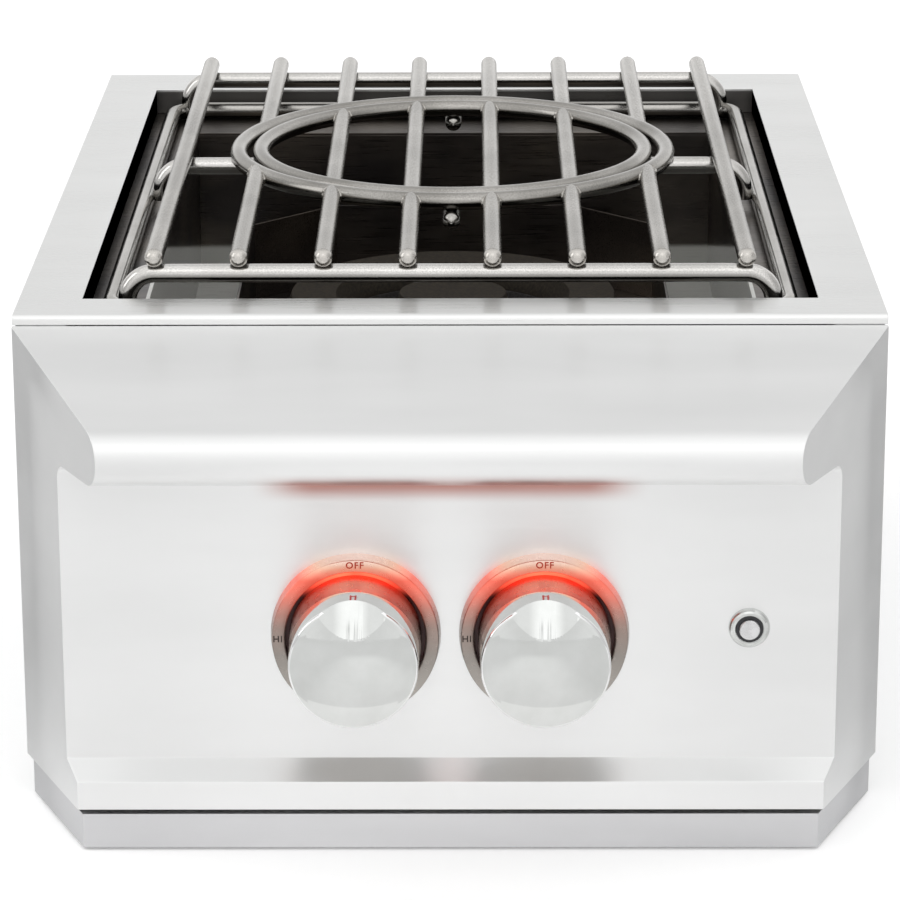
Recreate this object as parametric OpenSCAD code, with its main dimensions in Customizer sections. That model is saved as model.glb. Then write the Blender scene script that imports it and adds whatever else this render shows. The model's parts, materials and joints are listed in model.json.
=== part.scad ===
// Drop-in power burner for an outdoor kitchen.
// X runs to the right, Y to the back and Z up. The origin is on the surface it stands on,
// midway between the nose of the front panel and the rear edge of the deck.

/* [Sheet steel] */
// Thickness of the folded sheet
sheet = 1.5; // [1:0.1:2]
// Height of the deck's top face above the surface
stand_h = 253; // [245:1:280]

/* [Deck] */
// Width of the deck
deck_w = 432; // [425:1:480]
// Depth of the deck, front edge to rear edge
deck_d = 563; // [560:1:600]
// Height of the deck's folded rim
rim_h = 5; // [4:0.5:8]
// How much shorter the rim is along the front edge
front_trim = 0.3; // [0.2:0.1:1]
// Radius of the deck's rolled front edge
roll_r = 3; // [2.5:0.5:4]
// Width of the opening in the deck
opening_w = 368; // [362:1:372]
// Depth of the opening in the deck
opening_d = 488; // [484:1:492]
// Width of the deck's strip in front of the opening
strip_d = 31; // [28:1:34]
// Depth of the lip folded down round the opening
lip_h = 15; // [12:1:20]

/* [Front panel] */
// Gap under the deck's rim
seam = 0.4; // [0.2:0.1:1]
// Length of the short straight side before the slanted wings begin
wing_start = 2.7; // [2:0.1:6]
// How far each wing leans in for each millimetre it comes forward
wing_lean = 0.44; // [0.3:0.01:0.5]
// Radius of the rounded nose
nose_r = 14; // [10:0.5:15]
// Distance from the deck's front edge to the middle of the nose's rounding
nose_out = 103.5; // [95:0.5:110]
// Drop from the deck's top face to the middle of the nose's rounding
nose_drop = 40; // [38:0.5:44]
// Distance from the deck's front edge to the control panel's face
panel_out = 63; // [58:0.5:66]
// Drop to the top of the control panel, before its fillet
panel_top = 56.5; // [55:0.5:60]
// Fillet between the nose's underside and the control panel
panel_fillet = 8; // [4:0.5:10]
// Drop to the bottom of the control panel
panel_bottom = 209; // [200:0.5:212]
// Distance from the deck's front edge to the bottom lip's face
foot_out = 77; // [72:0.5:80]
// Drop to the top of the bottom lip
foot_top = 216.3; // [214:0.1:219]
// Drop to the bottom of the bottom lip
foot_bottom = 231; // [226:0.5:233]
// Depth of the bottom lip's return fold
foot_return = 12; // [8:1:20]

/* [Control knobs] */
// Distance from the middle of the panel to each knob
knob_x = 46; // [43:0.5:55]
// Drop from the deck's top face to the knobs' axis
knob_drop = 144; // [136:0.5:148]
// Radius of the knob at its foot
knob_foot_r = 32.2; // [28:0.1:33]
// Radius of the knob at its front edge
knob_front_r = 31.2; // [27:0.1:32]
// Distance from the panel to the knob's foot
knob_foot_z = 5.6; // [5:0.1:8]
// Distance from the panel to the knob's front edge
knob_edge_z = 47.5; // [40:0.5:50]
// Height of the domed front above the front edge
knob_dome = 5; // [3:0.5:7]
// Rounding of the knob's front edge
knob_round = 2; // [1:0.5:3]
// Thickness of the knob's wall
knob_wall = 2.5; // [2:0.1:4]
// Drop of the finger scoop's lower edge from the top of the knob
scoop_drop = 15.5; // [12:0.5:18]
// Depth of the finger scoop at the top of the knob
scoop_depth = 8.2; // [6:0.1:9]
// Radius of the finger scoop
scoop_r = 48; // [40:1:60]
// Travel of the knob when it is pushed
knob_travel = 3; // [2:0.1:3.2]
// Outer radius of the dial ring where it meets the panel
dial_r = 41.5; // [40:0.5:45]
// Outer radius of the dial ring's lettered face
dial_face_r = 40.5; // [38:0.5:44]
// Radius of the dial ring's hole
dial_hole_r = 34.4; // [34:0.1:37]
// Height of the dial ring
dial_h = 8; // [6:0.5:9]
// Thickness of the dial ring's inner flange and of the light ring on it
dial_flange = 1; // [0.8:0.1:1.2]

/* [Light switch] */
// Distance from the middle of the panel to the light switch
switch_x = 146; // [140:0.5:155]
// Drop from the deck's top face to the light switch
switch_drop = 141; // [130:0.5:150]
// Outer radius of the switch's collar
switch_collar_r = 10.2; // [9.5:0.1:12]
// Height of the switch's collar
switch_collar_h = 3; // [2:0.5:4]
// Radius of the switch's threaded barrel
switch_barrel_r = 8; // [7.5:0.1:8.5]
// Radius of the push button
button_r = 5; // [4.5:0.1:5.5]
// Distance from the panel to the push button's face
button_z = 4.3; // [3.5:0.1:5]
// Travel of the push button
button_travel = 1.5; // [1:0.1:2]

/* [Grate] */
// Radius of the grate's round bars
bar_r = 4.75; // [4:0.05:5]
// Spacing of the long rods
rod_pitch = 42.5; // [38:0.5:44]
// Number of long rods
rod_count = 8; // [8:2:8]
// Height of the rods' axis above the deck
rod_z = 18; // [17:0.5:24]
// Length of the long rods
rod_len = 474; // [450:1:478]
// Radius of the outer ring
ring_r = 119; // [117:0.5:125]
// Gap between the outer ring and the ring that lifts out
ring_gap = 2.8; // [2:0.1:5]
// Distance from the end of a rod to the front or rear cross bar
bar_setback = 8; // [6:0.5:20]
// Distance from the middle to the cross bars' legs
leg_x = 162.8; // [160:0.1:163]
// Bend radius of the bars
bend_r = 14; // [10:1:20]
// Distance from the middle to the sides of the base loop
loop_x = 172; // [170:0.5:173]
// Length of the base loop between its front and rear bars
loop_len = 462; // [456:1:466]
// Depth that each weld sinks one bar into another
weld_sink = 0.6; // [0.2:0.1:1]
// Length of the front and rear ring rests
rest_len = 28; // [24:1:36]

/* [Firebox] */
// Outer width of the body under the deck
body_w = 381; // [378:1:384]
// Distance from the deck's front edge to the body's rear face
body_back = 549; // [540:1:552]
// Width of the well below the grate
well_w = 310; // [290:1:320]
// Distance from the deck's front edge to the well's front wall
well_front = 55; // [50:1:70]
// Depth of the well, front to back
well_d = 409; // [400:1:420]
// Drop from the deck's top face to the well's floor
well_drop = 103; // [100:0.5:110]
// Width of the drain opening in the well's floor
drain_w = 144; // [130:1:146]
// Depth of the drain opening in the well's floor
drain_d = 176; // [170:1:180]
// Width of the wind guard
guard_w = 240; // [230:1:260]
// Depth of the wind guard
guard_d = 350; // [320:1:356]
// Corner cut of the wind guard
guard_cut = 48; // [30:1:60]
// Height of the wind guard
guard_h = 46; // [40:0.5:60]
// Distance from the deck's front edge to the heat shield
shield_y = 22; // [16:0.5:28]

/* [Burner] */
// Middle radius of the outer burner ring
burner_r = 78.5; // [77:0.5:82]
// Width of the outer burner ring
burner_ring_w = 33; // [32:0.5:36]
// Radius of the inner burner
burner_cup_r = 34; // [30:0.5:34]
// Thickness of the burner's cast walls
burner_wall = 4; // [3:0.1:4]
// Height of the burner's cast base
burner_base_h = 22; // [18:0.5:26]
// Height of the burner caps
burner_cap_h = 14; // [8:0.5:16]
// Number of flame ports in the outer cap
outer_ports = 36; // [24:1:48]
// Number of flame ports in the inner cap
inner_ports = 16; // [8:1:20]
// Diameter of a flame port
port_d = 2.6; // [2:0.1:3]
// Thickness of the burner brackets
bracket_t = 3; // [2:0.5:5]
// Outer radius of the mixer tubes
mixer_r = 14; // [13:0.5:14.5]
// Wall of the mixer tubes
mixer_wall = 2; // [1.5:0.1:2.5]
// Bend radius of the mixer tubes
mixer_bend = 25; // [20:1:28]

/* [Gas train] */
// Radius of the valve bodies
valve_r = 13; // [12.5:0.5:14]
// Radius of the valve stems
stem_r = 4; // [3:0.5:4]
// Radius of the valve plugs
plug_r = 8; // [7.5:0.1:9]
// Radius of the gas manifold
manifold_r = 11; // [9:0.5:12]
// Drop from the deck's top face to the manifold's axis
manifold_drop = 178; // [176:0.5:190]
// Distance from the middle to the supply pipe
supply_x = 140; // [130:1:150]
// Radius of the supply pipe
supply_r = 6.5; // [6:0.1:7]
// Radius of the male thread of the gas inlet
inlet_r = 7.94; // [7:0.01:9]
// Length of the male thread of the gas inlet
inlet_len = 13; // [10:0.5:13.5]

/* [Drip tray] */
// Gap between the front panel and the tray's front
tray_gap = 3; // [2:0.5:4]
// Height of the tray's front
tray_front_h = 18; // [15:0.5:18.5]
// How far the tray's front stands back from the bottom lip
tray_setback = 2; // [1:0.5:4]
// Width of the tray's pan
pan_w = 350; // [330:1:354]
// Distance from the deck's front edge to the pan's rear wall
pan_back = 512; // [480:1:530]
// Depth of the tray's pan
pan_h = 14; // [10:0.5:15]
// Width of the pan's side flanges
pan_flange = 10; // [6:0.5:12]

/* [Fits] */
// Gap between parts that move past each other
gap = 0.3; // [0.2:0.05:0.4]
// Radial clearance of a running fit
run_fit = 0.05; // [0.02:0.01:0.1]
// Radius of the small screws
screw_r = 2; // [1.5:0.1:2.5]

/* [Hidden] */
$fn = 96;

nose_reach = nose_out + nose_r;
deck_front = (nose_reach - deck_d) / 2;
over = 1;
half_deck = deck_w / 2;
half_body = body_w / 2;
inner_wall = half_body - sheet;
panel_z_top = -(rim_h + seam);
grate_y = strip_d + opening_d / 2;
ring_setback = 3;
guard_y = grate_y + ring_setback;
burner_y = guard_y;
floor_z = -well_drop;
burner_z = floor_z + bracket_t;
cap_z = burner_z + burner_base_h;
inner_ring_r = ring_r - 2 * bar_r - ring_gap;
cross_z = rod_z - 2 * bar_r + weld_sink;
loop_z = -lip_h + gap + bar_r;
tray_top = -(foot_bottom + tray_gap);
tray_bottom = tray_top - tray_front_h;

// Puts a part in place from the deck's front edge, with the deck's top face at zero
module on_deck() translate([0, deck_front, stand_h]) children();
// Lays a part on a control's axis, with Z pointing out of the front panel
module on_panel(x, drop) on_deck() translate([x, -panel_out, -drop]) rotate([90, 0, 0]) children();
// Extrudes an outline drawn as depth and height along the width, centred
module across(w) rotate([90, 0, 90]) translate([0, 0, -w / 2]) linear_extrude(w) children();
// A block given by its two opposite corners
module block(a, b) translate(a) cube(b - a);
// A copy on each side of the middle
module both_sides() for (side = [-1, 1]) scale([side, 1, 1]) children();

function unit(v) = v / norm(v);
function left_of(v) = [-v[1], v[0]];
function arc(c, r, a0, a1, n) =
    [for (i = [0:n]) c + r * [cos(a0 + (a1 - a0) * i / n), sin(a0 + (a1 - a0) * i / n)]];
// Mitred corner of the path p at point i, moved left by t
function mitre(p, i, t) = let (
    a = left_of(unit(p[max(i, 1)] - p[max(i, 1) - 1])),
    b = left_of(unit(p[min(i + 1, len(p) - 1)] - p[min(i + 1, len(p) - 1) - 1])))
    p[i] + (a + b) * t / (1 + a * b);
function moved_left(p, t) = [for (i = [0:len(p) - 1]) mitre(p, i, t)];

// Front panel, as depth and height, from the top fold round the nose to the bottom lip
nose_c = [-nose_out, -nose_drop];
slope_from = [-wing_start, panel_z_top];
slope_len = norm(nose_c - slope_from);
slope_a = atan2(nose_drop + panel_z_top, nose_out - wing_start) - asin(nose_r / slope_len);
under_to = [-panel_out, -panel_top];
under_len = norm(under_to - nose_c);
under_a = asin(nose_r / under_len) - atan2(panel_top - nose_drop, nose_out - panel_out);
fillet_turn = 90 + under_a;
fillet_run = panel_fillet * tan(fillet_turn / 2);
fillet_c = under_to + [-panel_fillet, -fillet_run];
nose_steps = 16;
fillet_steps = 6;
panel_path = concat([[0, panel_z_top], slope_from],
    arc(nose_c, nose_r, 90 + slope_a, 270 + under_a, nose_steps),
    arc(fillet_c, panel_fillet, 90 + under_a, 0, fillet_steps),
    [[-panel_out, -panel_bottom], [-foot_out, -foot_top], [-foot_out, -foot_bottom],
     [0, -foot_bottom]]);
// Plan of the front panel's left half, leaning in from the side to the front
function wing_x(out) = half_deck - wing_lean * (out - wing_start);
wing_end = nose_reach + over;
wing_path = [[-half_deck, 0], [-half_deck, -wing_start], [-wing_x(wing_end), -wing_end]];

module mirrored_plan(p, back) polygon(concat(
    [for (q = p) q], [for (i = [len(p) - 1:-1:0]) [-p[i][0], p[i][1]]],
    [[-p[0][0], back], [p[0][0], back]]));

module deck_frame() color("gainsboro") on_deck() difference() {
    union() {
        block([-half_deck, 0, -rim_h], [half_deck, deck_d, 0]);
        block([-opening_w / 2 - sheet, strip_d - sheet, -lip_h],
            [opening_w / 2 + sheet, strip_d + opening_d + sheet, 0]);
    }
    difference() {
        block([-half_deck + sheet, sheet, -rim_h - over], [half_deck - sheet, deck_d - sheet, -sheet]);
        block([-opening_w / 2 - sheet, strip_d - sheet, -lip_h - over],
            [opening_w / 2 + sheet, strip_d + opening_d + sheet, over]);
    }
    block([-opening_w / 2, strip_d, -lip_h - over], [opening_w / 2, strip_d + opening_d, over]);
    block([-half_deck - over, -over, -rim_h - over], [half_deck + over, sheet, -rim_h + front_trim]);
    difference() {
        block([-half_deck - over, -over, -roll_r], [half_deck + over, roll_r, over]);
        translate([0, roll_r, -roll_r]) rotate([0, 90, 0])
            cylinder(h = deck_w + 4 * over, r = roll_r, center = true);
    }
}

flange_screw_drops = [40, 120, 200];
flange_screw_x = (half_body + half_deck) / 2;
valve_screw_out = 17;

module front_panel() color("gainsboro") on_deck() difference() {
    union() {
        difference() {
            intersection() {
                across(deck_w + over) polygon(concat(panel_path, [[0, panel_z_top]]));
                translate([0, 0, -foot_bottom - over]) linear_extrude(foot_bottom)
                    mirrored_plan(wing_path, 0);
            }
            intersection() {
                across(deck_w + over) polygon(concat([[over, panel_z_top - sheet]],
                    moved_left(panel_path, sheet), [[over, -foot_bottom + sheet]]));
                translate([0, 0, -foot_bottom - over]) linear_extrude(foot_bottom)
                    mirrored_plan(moved_left(wing_path, sheet), over);
            }
            translate([0, 0, -foot_bottom - over]) linear_extrude(sheet + 2 * over) intersection() {
                mirrored_plan(moved_left(wing_path, sheet), over);
                translate([-half_deck, -foot_out + foot_return]) square([deck_w, foot_out]);
            }
        }
        both_sides() block([half_body, -sheet, -foot_bottom], [half_deck - sheet / 2, 0, panel_z_top]);
    }
    both_sides() translate([knob_x, -panel_out, -knob_drop]) rotate([90, 0, 0]) {
        cylinder(h = 4 * sheet, r = stem_r + 3, center = true);
        for (s = [-1, 1]) translate([0, s * valve_screw_out, 0])
            cylinder(h = 4 * sheet, r = screw_r + run_fit, center = true);
    }
    translate([switch_x, -panel_out, -switch_drop]) rotate([90, 0, 0])
        cylinder(h = 4 * sheet, r = switch_barrel_r + run_fit, center = true);
    flange_holes();
}

module flange_holes() both_sides() for (drop = flange_screw_drops)
    translate([flange_screw_x, 0, -drop]) rotate([90, 0, 0])
        cylinder(h = 4 * sheet, r = screw_r + run_fit, center = true);

// Left wall of the body, with a flange for the front panel and one to stand on
base_flange = 20;
side_vents = 4;
vent_w = 40;
vent_h = 6;
vent_pitch = 60;
module side_wall() difference() {
    union() {
        block([-half_body, sheet, -stand_h], [-inner_wall, body_back, -sheet]);
        block([-half_deck + sheet, 0, -foot_bottom], [-inner_wall, sheet, panel_z_top]);
        block([-half_body, sheet, -stand_h],
            [-half_body + base_flange, body_back - sheet, -stand_h + sheet]);
    }
    for (i = [0:side_vents - 1])
        translate([-half_body, grate_y + (i - (side_vents - 1) / 2) * vent_pitch, -manifold_drop])
            rotate([0, 90, 0]) linear_extrude(4 * sheet, center = true) union() {
                square([vent_h, vent_w - vent_h], center = true);
                for (s = [-1, 1]) translate([0, s * (vent_w - vent_h) / 2]) circle(d = vent_h);
            }
    flange_holes();
}
module side_wall_left() color("silver") on_deck() side_wall();
module side_wall_right() color("silver") on_deck() mirror([1, 0, 0]) side_wall();

shoulder_r = inlet_r + 1;
rear_vents = 6;
rear_vent_x = 30;
socket_x = -supply_x;
socket_hole_r = 6;
module rear_wall() color("silver") on_deck() difference() {
    union() {
        block([-inner_wall, body_back - sheet, -stand_h], [inner_wall, body_back, -sheet]);
        block([-inner_wall + base_flange, body_back - base_flange, -stand_h],
            [inner_wall - base_flange, body_back, -stand_h + sheet]);
    }
    for (i = [0:rear_vents - 1])
        translate([(i - (rear_vents - 1) / 2) * rear_vent_x, body_back, -knob_drop])
            rotate([90, 0, 0]) linear_extrude(4 * sheet, center = true) union() {
                square([vent_h, vent_w - vent_h], center = true);
                for (s = [-1, 1]) translate([0, s * (vent_w - vent_h) / 2]) circle(d = vent_h);
            }
    translate([supply_x, body_back, -manifold_drop]) rotate([90, 0, 0])
        cylinder(h = 4 * sheet, r = shoulder_r + run_fit, center = true);
    translate([socket_x, body_back, -manifold_drop]) rotate([90, 0, 0])
        cylinder(h = 4 * sheet, r = socket_hole_r + run_fit, center = true);
}

// Angle that ties the side walls together above the drip tray
rail_d = 17;
module front_crossrail() color("silver") on_deck() difference() {
    block([-inner_wall, sheet, -foot_bottom], [inner_wall, sheet + rail_d, -foot_bottom + rail_d]);
    block([-inner_wall - over, 2 * sheet, -foot_bottom + sheet],
        [inner_wall + over, rail_d + 3 * sheet, -foot_bottom + rail_d + over]);
}

pass_gap = 1;
module heat_shield() color("silver") on_deck() difference() {
    block([-inner_wall, shield_y, -foot_bottom + rail_d + gap],
        [inner_wall, shield_y + sheet, -lip_h - sheet]);
    both_sides() translate([knob_x, shield_y, -knob_drop]) rotate([90, 0, 0])
        cylinder(h = 4 * sheet, r = mixer_r + pass_gap, center = true);
    translate([supply_x, shield_y, -manifold_drop]) rotate([90, 0, 0])
        cylinder(h = 4 * sheet, r = supply_r + pass_gap, center = true);
}

// Ledge that carries the grate, butt-welded to the well below it
module firebox_ledge() color("dimgray") on_deck() difference() {
    block([-inner_wall, shield_y, -lip_h - sheet], [inner_wall, body_back - sheet, -lip_h]);
    block([-well_w / 2, well_front, -lip_h - 2 * sheet], [well_w / 2, well_front + well_d, 0]);
}

bracket_w = 20;
bracket_inset = 9;
bracket_x = burner_r + burner_ring_w / 2 - bracket_inset;
bracket_len = 230;
bracket_screw_y = (bracket_len - bracket_w) / 2;
module bracket_holes() both_sides() for (s = [-1, 1])
    translate([bracket_x, burner_y + s * bracket_screw_y, floor_z])
        cylinder(h = 4 * bracket_t, r = screw_r + run_fit, center = true);
module firebox_well() color("dimgray") on_deck() difference() {
    block([-well_w / 2 - sheet, well_front - sheet, floor_z - sheet],
        [well_w / 2 + sheet, well_front + well_d + sheet, -lip_h - sheet]);
    block([-well_w / 2, well_front, floor_z], [well_w / 2, well_front + well_d, over]);
    block([-drain_w / 2, burner_y - drain_d / 2, floor_z - 2 * sheet],
        [drain_w / 2, burner_y + drain_d / 2, floor_z + over]);
    bracket_holes();
}

// Eight-sided guard round the burner, open at the top and the bottom
function cut_box(w, d, c) = [
    [w / 2, d / 2 - c], [w / 2 - c, d / 2], [c - w / 2, d / 2], [-w / 2, d / 2 - c],
    [-w / 2, c - d / 2], [c - w / 2, -d / 2], [w / 2 - c, -d / 2], [w / 2, c - d / 2]];
module wind_guard() color("dimgray") on_deck() translate([0, guard_y, floor_z]) linear_extrude(guard_h)
    difference() {
        polygon(cut_box(guard_w, guard_d, guard_cut));
        polygon(cut_box(guard_w - 2 * sheet, guard_d - 2 * sheet, guard_cut - sheet * (2 - sqrt(2))));
    }

module burner_brackets() color("silver") on_deck() difference() {
    both_sides() block([bracket_x - bracket_w / 2, burner_y - bracket_len / 2, floor_z],
        [bracket_x + bracket_w / 2, burner_y + bracket_len / 2, floor_z + bracket_t]);
    bracket_holes();
}

// Cast base: a ring-shaped gas channel, an inner cup and the duct that feeds it
ring_out = burner_r + burner_ring_w / 2;
ring_in = burner_r - burner_ring_w / 2;
feed_x = knob_x;
outer_feed_y = burner_y - sqrt(pow(burner_r, 2) - pow(feed_x, 2));
duct_r = 15;
duct_h = 16;
spoke_w = 10;
spoke_h = 12;
mixer_in = mixer_r - mixer_wall;
module channel(r0, r1) rotate_extrude() difference() {
    translate([r0, 0]) square([r1 - r0, burner_base_h]);
    translate([r0 == 0 ? 0 : r0 + burner_wall, burner_wall])
        square([r1 - (r0 == 0 ? 0 : r0 + burner_wall) - burner_wall, burner_base_h]);
}
module burner_base() color("darkgoldenrod") on_deck() translate([0, burner_y, burner_z]) difference() {
    union() {
        channel(ring_in, ring_out);
        channel(0, burner_cup_r);
        difference() {
            translate([feed_x, 0, 0]) cylinder(h = duct_h, r = duct_r);
            cylinder(h = duct_h + over, r = burner_cup_r - burner_wall / 2);
            difference() {
                cylinder(h = duct_h + over, r = ring_out);
                cylinder(h = duct_h + over, r = ring_in + burner_wall / 2);
            }
        }
        for (a = [120, 240]) rotate(a)
            block([burner_cup_r - burner_wall / 2, -spoke_w / 2, 0],
                [ring_in + burner_wall / 2, spoke_w / 2, spoke_h]);
    }
    translate([feed_x, 0, -over]) cylinder(h = duct_h - burner_wall + over, r = mixer_in - 1);
    block([0, -mixer_in / 2, burner_wall], [feed_x, mixer_in / 2, duct_h - burner_wall]);
    translate([-feed_x, outer_feed_y - burner_y, -over])
        cylinder(h = burner_wall + 2 * over, r = mixer_in - 1);
}

// Caps with slanted flanks and a row of flame ports
cap_lip = 3;
cap_slope = 4;
cap_flank = 2;
module cap_ports(count, r, tilt) for (i = [0:count - 1]) rotate((i + 0.5) * 360 / count)
    translate([r, 0, burner_cap_h / 2]) rotate([0, tilt, 0])
        cylinder(h = 4 * burner_wall, d = port_d, center = true, $fn = 24);
module outer_burner_cap() color("goldenrod") on_deck() translate([0, burner_y, cap_z]) difference() {
    rotate_extrude() difference() {
        polygon([[ring_in, 0], [ring_out, 0], [ring_out, cap_lip],
            [ring_out - cap_slope, burner_cap_h], [ring_in + cap_slope, burner_cap_h], [ring_in, cap_lip]]);
        translate([ring_in + burner_wall + cap_flank, -over]) square([
            burner_ring_w - 2 * (burner_wall + cap_flank), burner_cap_h - burner_wall + over]);
    }
    cap_ports(outer_ports, ring_out - burner_wall, 90);
}
module inner_burner_cap() color("goldenrod") on_deck() translate([0, burner_y, cap_z]) difference() {
    cylinder(h = burner_cap_h, r1 = burner_cup_r, r2 = burner_cup_r - cap_slope);
    translate([0, 0, -over])
        cylinder(h = burner_cap_h - burner_wall + over, r = burner_cup_r - burner_wall - cap_flank);
    cap_ports(inner_ports, burner_cup_r - burner_wall, 90);
}

// Mixer tube from its bell mouth behind the valve, back and up to the burner
bell_y = 0;
bell_r = 19;
bell_len = 15;
module mixer_tube(side, end_y) on_deck() {
    up_z = -knob_drop + mixer_bend;
    difference() {
        union() {
            translate([side * knob_x, bell_y, -knob_drop]) rotate([-90, 0, 0]) {
                cylinder(h = bell_len, r1 = bell_r, r2 = mixer_r);
                translate([0, 0, bell_len]) cylinder(h = end_y - mixer_bend - bell_y - bell_len, r = mixer_r);
            }
            mixer_turn(side, end_y, mixer_r);
            translate([side * knob_x, end_y, up_z]) cylinder(h = burner_z - up_z, r = mixer_r);
        }
        translate([side * knob_x, bell_y, -knob_drop]) rotate([-90, 0, 0]) {
            translate([0, 0, -over])
                cylinder(h = bell_len + over, r1 = bell_r - mixer_wall + over, r2 = mixer_in);
            cylinder(h = end_y - mixer_bend - bell_y, r = mixer_in);
        }
        mixer_turn(side, end_y, mixer_in);
        translate([side * knob_x, end_y, up_z]) cylinder(h = burner_z - up_z + over, r = mixer_in);
    }
}
module mixer_turn(side, end_y, r)
    translate([side * knob_x, end_y - mixer_bend, -knob_drop + mixer_bend]) rotate([0, -90, 0])
        rotate([0, 0, 180]) rotate([0, 0, -90]) rotate_extrude(angle = 90)
            translate([mixer_bend, 0]) circle(r = r);
module outer_mixer_tube() color("silver") mixer_tube(-1, outer_feed_y);
module inner_mixer_tube() color("silver") mixer_tube(1, burner_y);

// Spark electrode in its ceramic sleeve, standing on the floor ahead of the burner
igniter_x = -18;
igniter_gap = 9;
igniter_y = burner_y - ring_out - igniter_gap;
ceramic_r = 3.5;
ceramic_h = 28;
pin_r = 0.9;
pin_h = 8;
spark_len = 5;
igniter_foot_w = 20;
igniter_foot_d = 12;
module igniter_bracket() color("silver") on_deck() translate([igniter_x, igniter_y, floor_z])
    difference() {
        translate([-igniter_foot_w / 2, -igniter_foot_d / 2, 0])
            cube([igniter_foot_w, igniter_foot_d, sheet]);
        translate([0, 0, -over]) cylinder(h = sheet + 2 * over, r = ceramic_r - 1);
    }
module igniter_ceramic() color("white") on_deck() translate([igniter_x, igniter_y, floor_z + sheet])
    difference() {
        cylinder(h = ceramic_h, r = ceramic_r);
        translate([0, 0, -over]) cylinder(h = ceramic_h + 2 * over, r = pin_r + run_fit);
    }
module igniter_electrode() color("gray") on_deck() translate([igniter_x, igniter_y, floor_z + sheet]) {
    cylinder(h = ceramic_h + pin_h, r = pin_r);
    translate([0, 0, ceramic_h + pin_h]) sphere(r = pin_r);
    translate([0, 0, ceramic_h + pin_h]) rotate([-90, 0, 0]) cylinder(h = spark_len, r = pin_r);
}

// Valve parts lie on the knob's axis; their depth is counted back from the panel's face
valve_flange = 2.5;
valve_front = sheet;
gland_end = 13;
chamber_r = 7;
chamber_end = 25;
plug_end = 48;
valve_end = 55;
valve_neck_r = 6;
neck_back = 37;
module back(d) translate([0, 0, -d]) children();
module valve_screw_places() for (s = [-1, 1]) translate([0, s * valve_screw_out, 0]) children();
module valve_body(x) on_panel(x, knob_drop) difference() {
    union() {
        back(valve_end) cylinder(h = valve_end - valve_front, r = valve_r);
        back(valve_front + valve_flange) linear_extrude(valve_flange) union() {
            square([2 * valve_r, 2 * valve_screw_out], center = true);
            valve_screw_places() circle(r = screw_r + 3);
        }
        translate([0, 0, -neck_back]) rotate([90, 0, 0])
            cylinder(h = manifold_drop - knob_drop, r = valve_neck_r);
    }
    back(valve_end + over) cylinder(h = valve_end, r = stem_r + run_fit - 1);
    back(plug_end) cylinder(h = plug_end - chamber_end, r = plug_r + run_fit);
    back(chamber_end + over) cylinder(h = chamber_end - gland_end + over, r = chamber_r);
    back(gland_end + over) cylinder(h = gland_end + 2 * over, r = stem_r + run_fit);
    valve_screw_places() back(valve_flange + sheet + over)
        cylinder(h = valve_flange + 2 * over, r = screw_r + run_fit);
    translate([0, knob_drop - manifold_drop, -neck_back]) rotate([0, 90, 0])
        cylinder(h = 4 * valve_r, r = manifold_r, center = true);
}
module valve_body_left() color("goldenrod") valve_body(-knob_x);
module valve_body_right() color("goldenrod") valve_body(knob_x);

// The plug turns in the valve body, and the stem slides in the plug's socket
plug_socket = 12;
stem_back = chamber_end + 6;
module valve_plug(x) on_panel(x, knob_drop) difference() {
    back(plug_end - gap) cylinder(h = plug_end - chamber_end - gap, r = plug_r);
    back(chamber_end + plug_socket) cylinder(h = plug_socket + over, r = stem_r + run_fit);
}
module valve_plug_left() color("darkgoldenrod") valve_plug(-knob_x);
module valve_plug_right() color("darkgoldenrod") valve_plug(knob_x);

collar_r = 6.2;
collar_h = 2;
stem_front = knob_edge_z - knob_wall - 3;
module valve_stem(x) on_panel(x, knob_drop) difference() {
    union() {
        back(stem_back) cylinder(h = stem_back + stem_front, r = stem_r);
        back(gland_end + gap + collar_h) cylinder(h = collar_h, r = collar_r);
    }
    translate([-stem_r, stem_r - 1, knob_foot_z + knob_travel]) cube([2 * stem_r, stem_r, stem_front]);
}
module valve_stem_left() color("silver") valve_stem(-knob_x);
module valve_stem_right() color("silver") valve_stem(knob_x);

// Return spring between the stem's collar and the plug
spring_wire = 0.5;
spring_r = 5.4;
spring_turns = 4;
spring_sides = 6;
spring_steps = 16;
spring_from = chamber_end - gap;
spring_to = gland_end + gap + collar_h + gap;
function coil_point(t) = [spring_r * cos(360 * t), spring_r * sin(360 * t),
    -spring_from + spring_wire + (spring_from - spring_to - 2 * spring_wire) * t / spring_turns];
function coil_ring(t) = let (c = coil_point(t), out = [cos(360 * t), sin(360 * t), 0])
    [for (k = [0:spring_sides - 1]) c + spring_wire * (cos(360 * k / spring_sides) * out
        + sin(360 * k / spring_sides) * [0, 0, 1])];
module valve_spring(x) on_panel(x, knob_drop) {
    rings = spring_turns * spring_steps;
    polyhedron(
        points = [for (i = [0:rings]) each coil_ring(i / spring_steps)],
        faces = concat(
            [[for (k = [0:spring_sides - 1]) k]],
            [for (i = [0:rings - 1], k = [0:spring_sides - 1])
                each [[i * spring_sides + k, (i + 1) * spring_sides + k,
                    (i + 1) * spring_sides + (k + 1) % spring_sides],
                    [i * spring_sides + k, (i + 1) * spring_sides + (k + 1) % spring_sides,
                    i * spring_sides + (k + 1) % spring_sides]]],
            [[for (k = [spring_sides - 1:-1:0]) rings * spring_sides + k]]));
}
module valve_spring_left() color("gray") valve_spring(-knob_x);
module valve_spring_right() color("gray") valve_spring(knob_x);

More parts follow.
